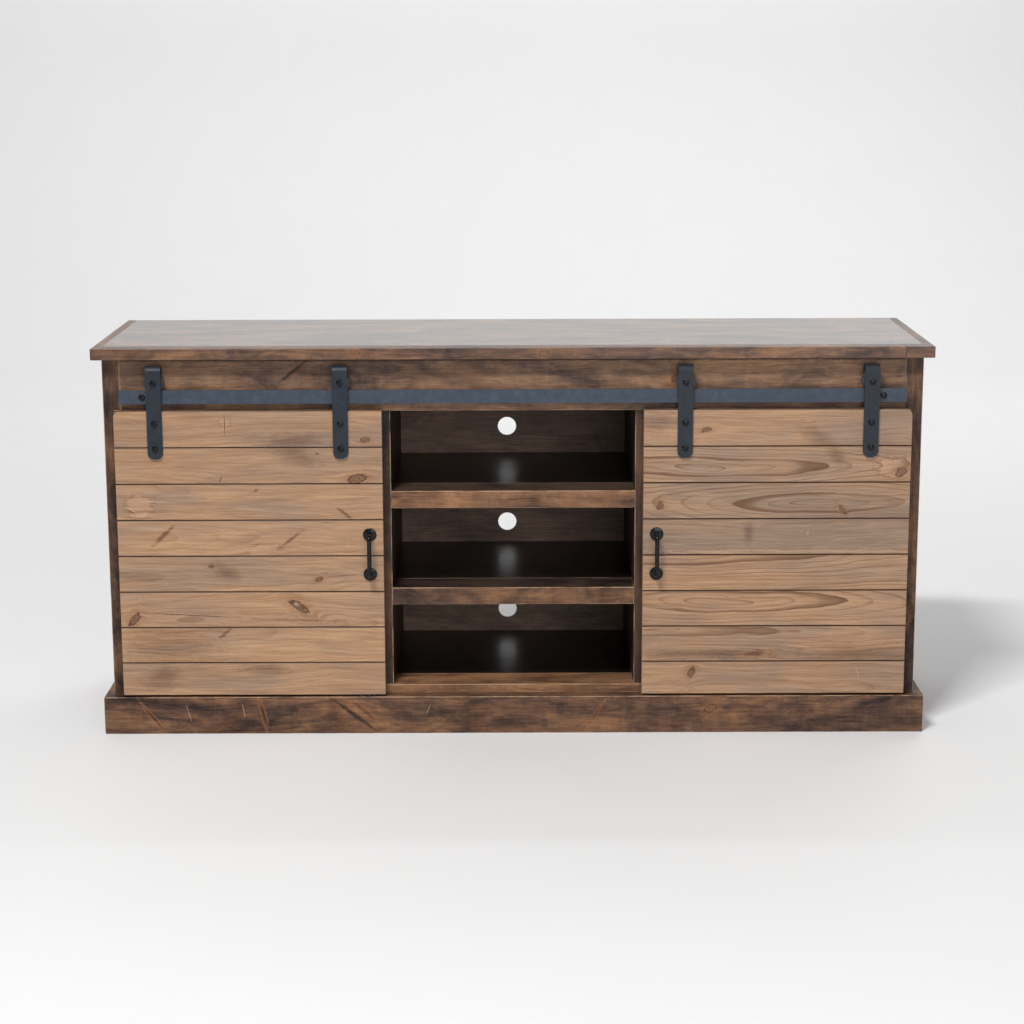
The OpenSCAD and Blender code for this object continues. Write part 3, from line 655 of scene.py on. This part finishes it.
def dented(place, low, high, seed, turning, dent):
    """The point worn inwards: deep and patchy on the edges, and a shallow wave over the faces."""
    middle = (low + high) / 2
    half = (high - low) / 2
    spot = place * DENT_PITCH + Vector((seed, seed * 2.3, seed * 0.7))
    wave = place * WAVE_PITCH + Vector((seed * 1.9, seed, seed * 3.1))
    edge = max(0.0, noise.fractal(spot, 0.9, 2.0, 3) + 0.05) * dent * min(1.0, turning * 1.5)
    face = (0.5 + 0.5 * noise.noise(wave)) * 0.22 * dent
    push = Vector()
    for i in range(3):
        gap = half[i] - abs(place[i] - middle[i])
        if gap < SKIN:
            push[i] = -math.copysign(edge + face, place[i] - middle[i])
    return place + push


# How far past the eased edges more mesh lines lie, so that the dents fade out
FADE_LINES = (2 * MM, 5 * MM)


def board_mesh(name, low, high, seed, radius=1.6 * MM, dent=0.55 * MM, step=18 * MM, reshape=None, spare=()):
    """A solid board with worn edges, between low and high. spare gives more mesh lines near its ends."""
    lines = [lines_between(low[i], high[i], radius, step, (*FADE_LINES, *spare)) for i in range(3)]
    places, quads = box_skin(lines)
    shaped = []
    for place in places:
        place, turning = eased(place, low, high, radius)
        place = dented(place, low, high, seed, turning, dent)
        shaped.append(reshape(place) if reshape else place)
    mesh = bpy.data.meshes.new(name)
    mesh.from_pydata(shaped, [], quads)
    mesh.shade_smooth()
    return mesh


def place_board(name, node, low, high, seed, material, slot, **shape):
    """A finished board that stands for a CAD node and rides on its body."""
    piece = new_object(name, board_mesh(name, low, high, seed, **shape))
    piece.data.materials.append(material)
    piece.modifiers.new("faces", "WEIGHTED_NORMAL").keep_sharp = True
    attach(piece, BODY_OF[node])
    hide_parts(node)
    return piece


# Gaps to close, flats to join and corners to ease
WELD_GAP = 0.01 * MM
FLAT_ANGLE = math.radians(0.5)
CORNER_ANGLE = math.radians(40)


def dress(node, material, edge, segments=2):
    """Gives a CAD node its material and eased edges."""
    item = frame["nodes"][node]
    item.data.materials.clear()
    item.data.materials.append(material)
    weld = item.modifiers.new("weld", "WELD")
    weld.merge_threshold = WELD_GAP
    flat = item.modifiers.new("flat", "DECIMATE")
    flat.decimate_type = "DISSOLVE"
    flat.angle_limit = FLAT_ANGLE
    bevel = item.modifiers.new("edges", "BEVEL")
    bevel.width = edge
    bevel.segments = segments
    bevel.limit_method = "ANGLE"
    bevel.angle_limit = CORNER_ANGLE
    bevel.use_clamp_overlap = True
    item.modifiers.new("faces", "WEIGHTED_NORMAL").keep_sharp = True
    for polygon in item.data.polygons:
        polygon.use_smooth = True


# ---- The stand's boards ----

# The long dark line painted on the header just under the top: a painted shadow of the top's overhang
PAINTED_SHADOW_UNDER_THE_TOP = ("crack", 0.0, 0.0555, 0.0045, 400, 0)

# Boards that are seen: grain, across and depth axes, how much tan shows, and their spots
BOARDS = {
    "top_panel": ((X, Y, Z), 0.45, ()),
    "top_front_trim": ((X, Z, Y), 0.50, (
        ("knot", 0.10, 0.0, 0.006, 1.8, 10), ("knot", -0.31, 0.002, 0.005, 2.0, 0))),
    "top_front_trim_end": ((X, Z, Y), 0.35, ()),
    "top_left_trim": ((Y, Z, X), 0.4, ()),
    "top_right_trim": ((Y, Z, X), 0.4, ()),
    "left_stile": ((Z, X, Y), 0.22, (("knot", 0.16, 0.004, 0.007, 2.0, 0),)),
    "right_stile": ((Z, X, Y), 0.20, (("knot", -0.21, -0.006, 0.007, 2.0, 0),)),
    # The header's last spot is the painted shadow line under the top
    "header_board": ((X, Z, Y), 0.72, (
        ("crack", -0.48, 0.028, 0.004, 9, 38), ("knot", 0.36, 0.01, 0.009, 1.7, 0), PAINTED_SHADOW_UNDER_THE_TOP)),
    "upper_shelf_nosing": ((X, Z, Y), 0.95, (("cloud", 0.05, 0.0, 0.012, 1.2, 70),)),
    "lower_shelf_nosing": ((X, Z, Y), 0.45, (("cloud", 0.20, 0.0, 0.016, 2.0, 0),)),
}
GLOSS = {"top_panel": 1.0, "top_front_trim": 0.5, "top_front_trim_end": 0.5, "top_left_trim": 0.5,
         "top_right_trim": 0.5}
WEAR = {"top_front_trim": 0.35, "top_front_trim_end": 0.35}


def make_boards():
    """The boards of BOARDS, as worn boards. Only the front of a shelf's nosing is light."""
    for seed, (node, (axes, patch, spots)) in enumerate(BOARDS.items(), 1):
        low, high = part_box(node)
        nosing = node.endswith("nosing")
        stains = HEADER if node == "header_board" else INNER if nosing else DARK
        material = dark_wood(
            "wood_" + node, (low, high), axes, seed, patch, wear=WEAR.get(node, 1.0),
            gloss=GLOSS.get(node, 0.0), spots=spots, stains=stains, front=DARK if nosing else None,
        )
        place_board(node.replace("_board", "") + "_face", node, low, high, seed, material, "carcass_wood")


PLINTH_SEED = 31

# Clouds, scrapes, cracks and nicks of the plinth's front
PLINTH_SPOTS = (
    ("cloud", -0.620, 0.0, 0.034, 1.8, 80),
    ("cloud", -0.400, 0.0, 0.018, 2.0, 88),
    ("cloud", -0.095, 0.0, 0.034, 1.5, 80),
    ("streak", -0.808, -0.002, 0.0050, 9, -52),
    ("crack", -0.800, -0.012, 0.0012, 22, -48),
    ("streak", -0.560, 0.002, 0.0060, 7, -78),
    ("crack", -0.556, -0.006, 0.0014, 18, -74),
    ("streak", -0.334, 0.010, 0.0075, 6, -40),
    ("crack", -0.358, 0.002, 0.0048, 13, -37),
    ("nick", -0.726, 0.006, 0.0011, 18, -74),
    ("nick", -0.603, 0.010, 0.0010, 16, -80),
    ("nick", -0.190, 0.014, 0.0011, 10, 66),
    ("knot", 0.440, 0.012, 0.0090, 1.5, 20),
    ("streak", 0.185, 0.004, 0.0040, 8, 58),
)


def make_plinth():
    """Front and side boards, mitred where they meet."""
    _, outer_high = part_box("plinth_right")
    low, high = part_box("plinth_front")

    def mitred_front(place):
        place.x *= 1 - (place.y - low.y) / outer_high.x
        return place

    seed = PLINTH_SEED
    material = dark_wood("wood_plinth_front", (low, high), (X, Z, Y), seed, 0.46, spots=PLINTH_SPOTS)
    place_board(
        "plinth_front_face", "plinth_front", low, high, seed, material, "carcass_wood", reshape=mitred_front,
    )
    for node, side in (("plinth_left", -1), ("plinth_right", 1)):
        seed += 1
        low_side, high_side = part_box(node)

        def mitred_side(place, low=low_side, high=high_side, side=side):
            outer = high.x if side > 0 else low.x
            depth = abs(place.x - outer)
            place.y += depth * (high.y - place.y) / (high.y - low.y)
            return place

        material = dark_wood("wood_" + node, (low_side, high_side), (Y, Z, X), seed, 0.45)
        place_board(
            node + "_face", node, low_side, high_side, seed, material, "carcass_wood", reshape=mitred_side,
        )


# ---- Doors ----

PLANK_PITCH = 81 * MM
PLANK_GAP = 1.4 * MM
CORNER_RADIUS = 14 * MM
CORNER_LINES = (8 * MM, 11 * MM)
GUIDE_GROOVE_HALF = 2.5 * MM
GUIDE_GROOVE_SPARE = 1.0 * MM
GUIDE_GROOVE_OVERRUN = 10 * MM
PLANK_SEED = {-1: 50, 1: 70}
PLANK_SHAPE = dict(radius=1.2 * MM, dent=0.35 * MM, step=15 * MM)

# Each plank from the top down: where its pith lies (across, depth, drift), ring spacing in mm, strength of
# the lines, how grey it is, how light it is, and its spots (kind, along, across, size, stretch, tilt)
LEFT_PLANKS = (
    dict(heart=(0.05, -0.02, 0.02), spacing=3.4, line=0.42, grey=0.42, light=0.98, spots=(
        ("pale", -0.050, 0.014, 0.012, 0.9, 90), ("crack", -0.050, 0.010, 0.0008, 30, 90),
        ("cloud", 0.100, -0.026, 0.020, 4.0, 0), ("knot", 0.255, -0.024, 0.005, 2.0, 8))),
    dict(heart=(-0.05, -0.05, 0.03), spacing=6.0, line=0.25, grey=0.40, light=0.95, spots=(
        ("cloud", 0.100, 0.024, 0.021, 2.6, -15), ("knot", 0.235, -0.030, 0.009, 2.2, 10),
        ("crack", -0.062, -0.029, 0.0011, 7, 68), ("knot", 0.150, 0.027, 0.002, 1.3, 0))),
    dict(heart=(0.02, -0.05, 0.04), spacing=5.5, line=0.28, grey=0.30, light=1.0, spots=(
        ("pale", -0.242, -0.010, 0.027, 1.1, 20), ("crack", -0.262, -0.020, 0.0013, 8, -32),
        ("streak", 0.208, -0.026, 0.0042, 5.5, -38), ("knot", 0.015, 0.026, 0.002, 1.6, 20))),
    dict(heart=(0.0, -0.06, 0.05), spacing=7.0, line=0.30, grey=0.22, light=1.04, spots=(
        ("streak", -0.190, 0.008, 0.0050, 6.5, 44), ("streak", 0.090, -0.002, 0.0038, 9.0, 38),
        ("pale", 0.030, -0.026, 0.012, 3.0, 8), ("nick", 0.214, -0.017, 0.0016, 5, 80))),
    dict(heart=(-0.01, -0.04, 0.06), spacing=6.5, line=0.33, grey=0.35, light=0.98, spots=(
        ("cloud", -0.055, 0.002, 0.017, 1.9, -20), ("knot", -0.088, 0.018, 0.0042, 1.7, 0),
        ("knot", 0.150, -0.012, 0.0050, 1.8, 15), ("streak", 0.200, -0.004, 0.0013, 32, 5))),
    dict(heart=(-0.03, -0.03, 0.03), spacing=5.0, line=0.36, grey=0.22, light=1.03, spots=(
        ("crack", -0.145, -0.012, 0.0009, 130, -3), ("knot", 0.105, 0.006, 0.0100, 2.5, -36),
        ("nick", 0.098, 0.012, 0.0040, 1.6, -30), ("knot", -0.262, -0.022, 0.0075, 2.0, 52),
        ("crack", 0.100, -0.024, 0.0008, 90, -1))),
    dict(heart=(0.03, -0.06, 0.02), spacing=6.5, line=0.20, grey=0.20, light=1.05, spots=(
        ("cloud", -0.185, 0.004, 0.044, 2.6, 0), ("streak", -0.062, 0.027, 0.0035, 5, 38))),
    dict(heart=(0.05, -0.04, 0.02), spacing=5.0, line=0.18, grey=0.25, light=1.0, spots=(
        ("cloud", -0.205, 0.004, 0.028, 1.6, 20), ("cloud", 0.03, 0.02, 0.016, 3.0, 0))),
)
RIGHT_PLANKS = (
    dict(heart=(-0.04, -0.03, 0.03), spacing=4.6, line=0.28, grey=0.42, light=0.97, spots=(
        ("cloud", -0.262, 0.012, 0.022, 2.2, 10), ("knot", -0.155, -0.004, 0.0045, 2.6, 12),
        ("cloud", 0.095, -0.029, 0.021, 2.6, -38))),
    dict(heart=(-0.004, -0.022, 0.085), spacing=7.0, line=0.95, grey=0.45, light=0.99, spots=(
        ("pale", 0.250, -0.008, 0.022, 1.6, 0), ("knot", 0.272, -0.018, 0.0090, 1.4, 35),
        ("cloud", 0.128, 0.022, 0.016, 2.0, -52))),
    dict(heart=(-0.004, -0.020, -0.120), spacing=8.0, line=1.0, grey=0.72, light=0.95, spots=(
        ("knot", -0.255, -0.010, 0.0065, 1.3, 60), ("knot", 0.145, -0.020, 0.0045, 2.2, -50))),
    dict(heart=(0.06, -0.08, 0.02), spacing=6.5, line=0.20, grey=0.95, light=0.93, spots=(
        ("cloud", -0.060, 0.008, 0.012, 2.2, 86), ("pale", 0.020, -0.034, 0.006, 50, 0),
        ("nick", 0.070, 0.008, 0.0016, 4, 70))),
    dict(heart=(0.05, -0.03, 0.05), spacing=9.0, line=0.85, grey=0.25, light=1.0, spots=()),
    dict(heart=(0.014, -0.020, 0.100), spacing=8.5, line=0.80, grey=0.28, light=1.0, spots=(
        ("pale", -0.090, 0.026, 0.004, 4, 0),)),
    dict(heart=(0.03, -0.03, 0.03), spacing=7.0, line=0.60, grey=0.45, light=0.97, spots=(
        ("cloud", -0.150, -0.024, 0.012, 14.0, 0), ("cloud", 0.190, -0.023, 0.017, 9.0, 0),
        ("streak", -0.040, -0.022, 0.0085, 4.0, 8))),
    dict(heart=(-0.03, -0.05, 0.02), spacing=6.0, line=0.25, grey=0.35, light=0.98, spots=(
        ("knot", -0.182, 0.014, 0.0075, 1.6, 70), ("nick", 0.188, 0.012, 0.0013, 11, -75))),
)


def rounded_corner(side, low, high):
    """Rounds the outer top corner of the top plank."""
    radius = CORNER_RADIUS
    corner = Vector((high.x if side > 0 else low.x, 0.0, high.z))
    centre = corner - Vector((side * radius, 0.0, radius))

    def reshape(place):
        dx = side * (place.x - centre.x)
        dz = place.z - centre.z
        if dx > 0 and dz > 0:
            scale = max(dx, dz) / math.hypot(dx, dz)
            place.x = centre.x + side * dx * scale
            place.z = centre.z + dz * scale
        return place

    return reshape


def groove_guides(piece, side):
    """Cuts the groove that the floor guide's fin runs in."""
    guide_low, guide_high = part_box("floor_guides")
    door_low, door_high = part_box(("left" if side < 0 else "right") + "_door_planks")
    middle = (door_low.y + door_high.y) / 2
    x_ends = (door_low.x - GUIDE_GROOVE_OVERRUN, door_high.x + GUIDE_GROOVE_OVERRUN)
    y_ends = (middle - GUIDE_GROOVE_HALF, middle + GUIDE_GROOVE_HALF)
    z_ends = (guide_low.z, guide_high.z + GUIDE_GROOVE_SPARE)
    corners = [Vector((x, y, z)) for x in x_ends for y in y_ends for z in z_ends]
    mesh = bpy.data.meshes.new("groove")
    faces = [(0, 1, 3, 2), (4, 6, 7, 5), (0, 4, 5, 1), (2, 3, 7, 6), (0, 2, 6, 4), (1, 5, 7, 3)]
    mesh.from_pydata(corners, [], faces)
    cutter = new_object("groove", mesh)
    cut = piece.modifiers.new("groove", "BOOLEAN")
    cut.object = cutter
    cut.solver = "EXACT"
    cut.operation = "DIFFERENCE"
    bpy.context.view_layer.update()
    evaluated = piece.evaluated_get(bpy.context.evaluated_depsgraph_get())
    done = bpy.data.meshes.new_from_object(evaluated)
    piece.modifiers.clear()
    piece.data = done
    piece.modifiers.new("faces", "WEIGHTED_NORMAL").keep_sharp = True
    bpy.data.objects.remove(cutter)


def make_planks(name, side, looks):
    """A door's planks from the top down, a gap apart. The lowest has the guide's groove."""
    node = name + "_door_planks"
    low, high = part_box(node)
    for n, look in enumerate(looks):
        top = high.z - n * PLANK_PITCH - (PLANK_GAP / 2 if n else 0.0)
        last = n == len(looks) - 1
        foot = low.z if last else high.z - (n + 1) * PLANK_PITCH + PLANK_GAP / 2
        plank_low = Vector((low.x, low.y, foot))
        plank_high = Vector((high.x, high.y, top))
        seed = PLANK_SEED[side] + n
        material = door_wood(f"wood_{name}_plank_{n + 1}", (plank_low, plank_high), seed, **look)
        piece_name = f"{name}_plank_{n + 1}"
        shape = dict(PLANK_SHAPE)
        if n == 0:
            shape.update(reshape=rounded_corner(side, plank_low, plank_high), spare=CORNER_LINES)
        piece = place_board(piece_name, node, plank_low, plank_high, seed, material, "door_wood", **shape)
        if last:
            groove_guides(piece, side)


# ---- Bolts ----

FLANGE_R = 7.4 * MM
HEAD_H = 5.0 * MM
HEX_CORNER_R = 5.8 * MM
RAIL_BOLT_R = 4.0 * MM
STRAP_SCREW_R = 3.0 * MM
TURN_STEPS = 48
SHANK_CHAMFER = 0.5 * MM
CREASE_ANGLE = math.radians(32)

# Rings of a bolt's head, from its seat to its crown: radius and height
FLANGE_RINGS = (
    (FLANGE_R, 0.0), (FLANGE_R, 0.7 * MM), (7.15 * MM, 1.1 * MM), (6.7 * MM, 1.35 * MM),
    (6.1 * MM, 1.4 * MM),
)
CROWN_RINGS = (
    (HEX_CORNER_R, 1.5 * MM), (HEX_CORNER_R, 3.3 * MM), (5.45 * MM, 3.8 * MM), (5.0 * MM, 4.2 * MM),
    (4.4 * MM, 4.5 * MM), (3.5 * MM, 4.75 * MM), (2.3 * MM, 4.92 * MM), (1.1 * MM, 4.99 * MM),
)


def hexagon_radius(angle):
    """How far a bolt's hexagon reaches at this angle."""
    turn = angle % (math.pi / 3) - math.pi / 6
    return HEX_CORNER_R * math.cos(math.pi / 6) / math.cos(turn)


def add_bolt(shell, seat, shank, length):
    """A bolt whose head faces the front: round flange, chamfered hexagon and domed crown."""
    rings = [(shank * 0.9, -length, False), (shank, SHANK_CHAMFER - length, False), (shank, 0.0, False)]
    rings += [(radius, height, False) for radius, height in FLANGE_RINGS]
    rings += [(radius, height, True) for radius, height in CROWN_RINGS]
    rows = []
    for radius, height, hexagon in rings:
        row = []
        for n in range(TURN_STEPS):
            angle = 2 * math.pi * n / TURN_STEPS
            reach = min(radius, hexagon_radius(angle)) if hexagon else radius
            point = Vector((reach * math.cos(angle), -height, reach * math.sin(angle)))
            row.append(shell.verts.new(seat + point))
        rows.append(row)
    for low, high in zip(rows, rows[1:]):
        for n in range(TURN_STEPS):
            after = (n + 1) % TURN_STEPS
            shell.faces.new((low[n], low[after], high[after], high[n]))
    for row, height in ((rows[0], -length), (rows[-1], HEAD_H)):
        tip = shell.verts.new(seat + Vector((0.0, -height, 0.0)))
        for n in range(TURN_STEPS):
            shell.faces.new((row[n], row[(n + 1) % TURN_STEPS], tip))


def make_bolts(node, places, shank, material):
    """Domed bolts that stand for a CAD node. places are their (x, z)."""
    low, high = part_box(node)
    seat_y = low.y + HEAD_H
    shell = bmesh.new()
    for x, z in places:
        add_bolt(shell, Vector((x, seat_y, z)), shank, high.y - seat_y)
    bmesh.ops.recalc_face_normals(shell, faces=shell.faces)
    mesh = bpy.data.meshes.new(node + "_domed")
    shell.to_mesh(mesh)
    shell.free()
    mesh.shade_smooth()
    mesh.set_sharp_from_angle(angle=CREASE_ANGLE)
    mesh.materials.append(material)
    piece = new_object(node + "_domed", mesh)
    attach(piece, BODY_OF[node])
    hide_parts(node)


def make_all_bolts(material):
    """The rail's bolts, and on each door the wheels' axles and the screws through the straps."""
    straps = {name: sum(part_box(name + "_strap"), Vector()) / 2
              for name in ("left_outer", "left_inner", "right_inner", "right_outer")}
    low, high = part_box("rail_bolts")
    z = (low.z + high.z) / 2
    x_places = (low.x + FLANGE_R, straps["left_inner"].x, straps["right_inner"].x, high.x - FLANGE_R)
    make_bolts("rail_bolts", [(x, z) for x in x_places], RAIL_BOLT_R, material)
    for side in ("left", "right"):
        x_places = (straps[side + "_outer"].x, straps[side + "_inner"].x)
        low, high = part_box(side + "_axles")
        make_bolts(side + "_axles", [(x, (low.z + high.z) / 2) for x in x_places], RAIL_BOLT_R, material)
        low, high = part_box(side + "_strap_screws")
        places = [(x, z) for x in x_places for z in (low.z + FLANGE_R, high.z - FLANGE_R)]
        make_bolts(side + "_strap_screws", places, STRAP_SCREW_R, material)


# ---- CAD nodes that keep their shape ----

# Boards by their grain, across and depth axes
INSIDE = {
    "left_divider": (Z, Y, X), "right_divider": (Z, Y, X), "bottom_panel": (X, Y, Z),
    "upper_shelf": (X, Y, Z), "lower_shelf": (X, Y, Z), "left_bay_shelf": (X, Y, Z),
    "right_bay_shelf": (X, Y, Z), "back_panel_left": (X, Z, Y), "back_panel_centre": (X, Z, Y),
    "back_panel_right": (X, Z, Y), "back_rails": (X, Z, Y), "plinth_braces": (Y, Z, X),
    "plinth_corner_blocks": (Z, X, Y), "left_door_backer": (X, Z, Y), "right_door_backer": (X, Z, Y),
}
OUTSIDE = {
    "left_side_panel": (Z, Y, X), "right_side_panel": (Z, Y, X), "bottom_front_rail": (X, Z, Y),
    "plinth_back": (X, Z, Y),
}
INSIDE_EDGE = 1.0 * MM
OUTSIDE_EDGE = 1.2 * MM


def inside_look(node):
    """How a board inside the stand is stained and worn."""
    if node.startswith("back_"):
        return dict(patch=0.75, wear=0.2, stains=BACK)
    if "shelf" in node or node == "bottom_panel":
        return dict(patch=0.35, wear=0.8, gloss=0.6, stains=SHELF)
    return dict(patch=0.35, wear=0.8, stains=INNER, front=DIVIDER_EDGE if "divider" in node else None)


def dress_boards():
    for seed, (node, axes) in enumerate(INSIDE.items(), 100):
        dress(node, dark_wood("wood_" + node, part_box(node), axes, seed, **inside_look(node)), INSIDE_EDGE)
    for seed, (node, axes) in enumerate(OUTSIDE.items(), 130):
        patch = 0.97 if node == "bottom_front_rail" else 0.5
        dress(node, dark_wood("wood_" + node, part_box(node), axes, seed, patch), OUTSIDE_EDGE)


FLAT_BAR_EDGE = 0.6 * MM
BRACKET_EDGE = 0.4 * MM
ROSETTE_EDGE = 1.1 * MM
WHEEL_EDGE = 0.3 * MM
PIN_EDGE = 0.3 * MM
SCREW_EDGE = 0.2 * MM


def dress_metal():
    """The rail, straps, bolts, handles, wheels, guides, pins and screws."""
    black, zinc = black_steel(), zinc_steel()
    dress("flat_rail", powder_steel("rail_powder_coat", RAIL_TINT), FLAT_BAR_EDGE)
    strap_coat = powder_steel("strap_powder_coat", STRAP_TINT)
    for node in ("left_outer_strap", "left_inner_strap", "right_outer_strap", "right_inner_strap"):
        dress(node, strap_coat, FLAT_BAR_EDGE)
    for node in ("rail_spacers", "floor_guides"):
        dress(node, black, BRACKET_EDGE)
    make_all_bolts(black)
    for side in ("left", "right"):
        dress(f"{side}_handle_rosettes", black, ROSETTE_EDGE, segments=3)
        dress(f"{side}_handle_bar", black, BRACKET_EDGE)
        for wheel in ("outer_wheel", "inner_wheel"):
            dress(f"{side}_{wheel}", turned_nylon(f"{side}_{wheel}"), WHEEL_EDGE)
        dress(f"{side}_handle_screws", zinc, SCREW_EDGE)
    dress("shelf_pins", zinc, PIN_EDGE)
    dress("back_screws", zinc, SCREW_EDGE)


# ---- Studio ----

FLOOR_HALF = 9.0
WALL_Y = 6.6
WALL_H = 7.0
BEND = 1.5
BEND_STEPS = 16


def make_backdrop():
    """Pale floor that turns up into a wall behind the stand."""
    profile = [(-FLOOR_HALF, 0.0)]
    for n in range(BEND_STEPS + 1):
        angle = math.pi / 2 * n / BEND_STEPS
        profile.append((WALL_Y - BEND + BEND * math.sin(angle), BEND - BEND * math.cos(angle)))
    profile.append((WALL_Y, WALL_H))
    mesh = bpy.data.meshes.new("backdrop")
    places = [(x, y, z) for y, z in profile for x in (-FLOOR_HALF, FLOOR_HALF)]
    mesh.from_pydata(places, [], [(2 * n, 2 * n + 1, 2 * n + 3, 2 * n + 2) for n in range(len(profile) - 1)])
    mesh.shade_smooth()
    backdrop = new_object("backdrop", mesh)
    material, g, shader = new_material("backdrop_paint")
    shade = g.mix(g.noise(g.position(), (3, 3, 3), detail=3.0), *PAINT)
    g.feed(shader.inputs["Base Color"], shade)
    shader.inputs["Roughness"].default_value = 0.7
    mesh.materials.append(material)
    backdrop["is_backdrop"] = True


def area_light(name, place, target, size, energy):
    """A rectangular light that looks at target. size is its width and height."""
    data = bpy.data.lights.new(name, "AREA")
    data.shape = "RECTANGLE"
    data.size, data.size_y = size
    data.energy = energy
    lamp = new_object(name, data)
    lamp.location = place
    lamp.rotation_euler = (Vector(target) - Vector(place)).to_track_quat("-Z", "Y").to_euler()


def make_lights():
    """A small high key, a broad low fill, a wash over the wall, and a light for the back."""
    area_light("key", (-1.3, -3.5, 5.4), (0.0, -0.2, 0.6), (1.5, 0.45), 300)
    area_light("fill", (1.4, -5.6, 1.5), (0.0, 0.0, 0.4), (3.0, 1.8), 70)
    area_light("wall_wash", (0.0, 3.6, 5.6), (0.0, WALL_Y, 1.8), (10.0, 1.0), 198)
    area_light("rear_fill", (2.8, 4.6, 4.2), (0.0, 0.2, 0.4), (3.0, 2.0), 45)
    world = bpy.data.worlds.new("studio")
    world.use_nodes = True
    world.node_tree.nodes["Background"].inputs["Color"].default_value = (1.0, 1.0, 1.0, 1.0)
    world.node_tree.nodes["Background"].inputs["Strength"].default_value = 0.22
    bpy.context.scene.world = world


# Focal length and sensor in mm, place in metres, and turns in degrees
LENS = 79.6
SENSOR = 36.0
CAMERA_PLACE = (0.0, -5.099, 1.5295)
PITCH, YAW, ROLL = 11.90, -0.028, -0.187


def make_camera():
    """A camera straight in front of the stand and above its top, looking a little down."""
    pitch, yaw, roll = (math.radians(a) for a in (PITCH, YAW, ROLL))
    forward = Vector((math.sin(yaw) * math.cos(pitch), math.cos(yaw) * math.cos(pitch), -math.sin(pitch)))
    right = Vector((math.cos(yaw), -math.sin(yaw), 0.0))
    up = right.cross(forward)
    across = right * math.cos(roll) + up * math.sin(roll)
    upward = up * math.cos(roll) - right * math.sin(roll)
    data = bpy.data.cameras.new("camera")
    data.lens = LENS
    data.sensor_width = SENSOR
    camera = new_object("camera", data)
    turn = Matrix((across, upward, -forward)).transposed().to_4x4()
    camera.matrix_world = Matrix.Translation(CAMERA_PLACE) @ turn
    bpy.context.scene.camera = camera


make_camera()
make_backdrop()
make_lights()
make_boards()
make_plinth()
make_planks("left", -1, LEFT_PLANKS)
make_planks("right", 1, RIGHT_PLANKS)
dress_boards()
dress_metal()
bpy.context.scene.view_settings.view_transform = "Standard"

[[list(corner) for corner in box] for box in (cad_box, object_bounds())]
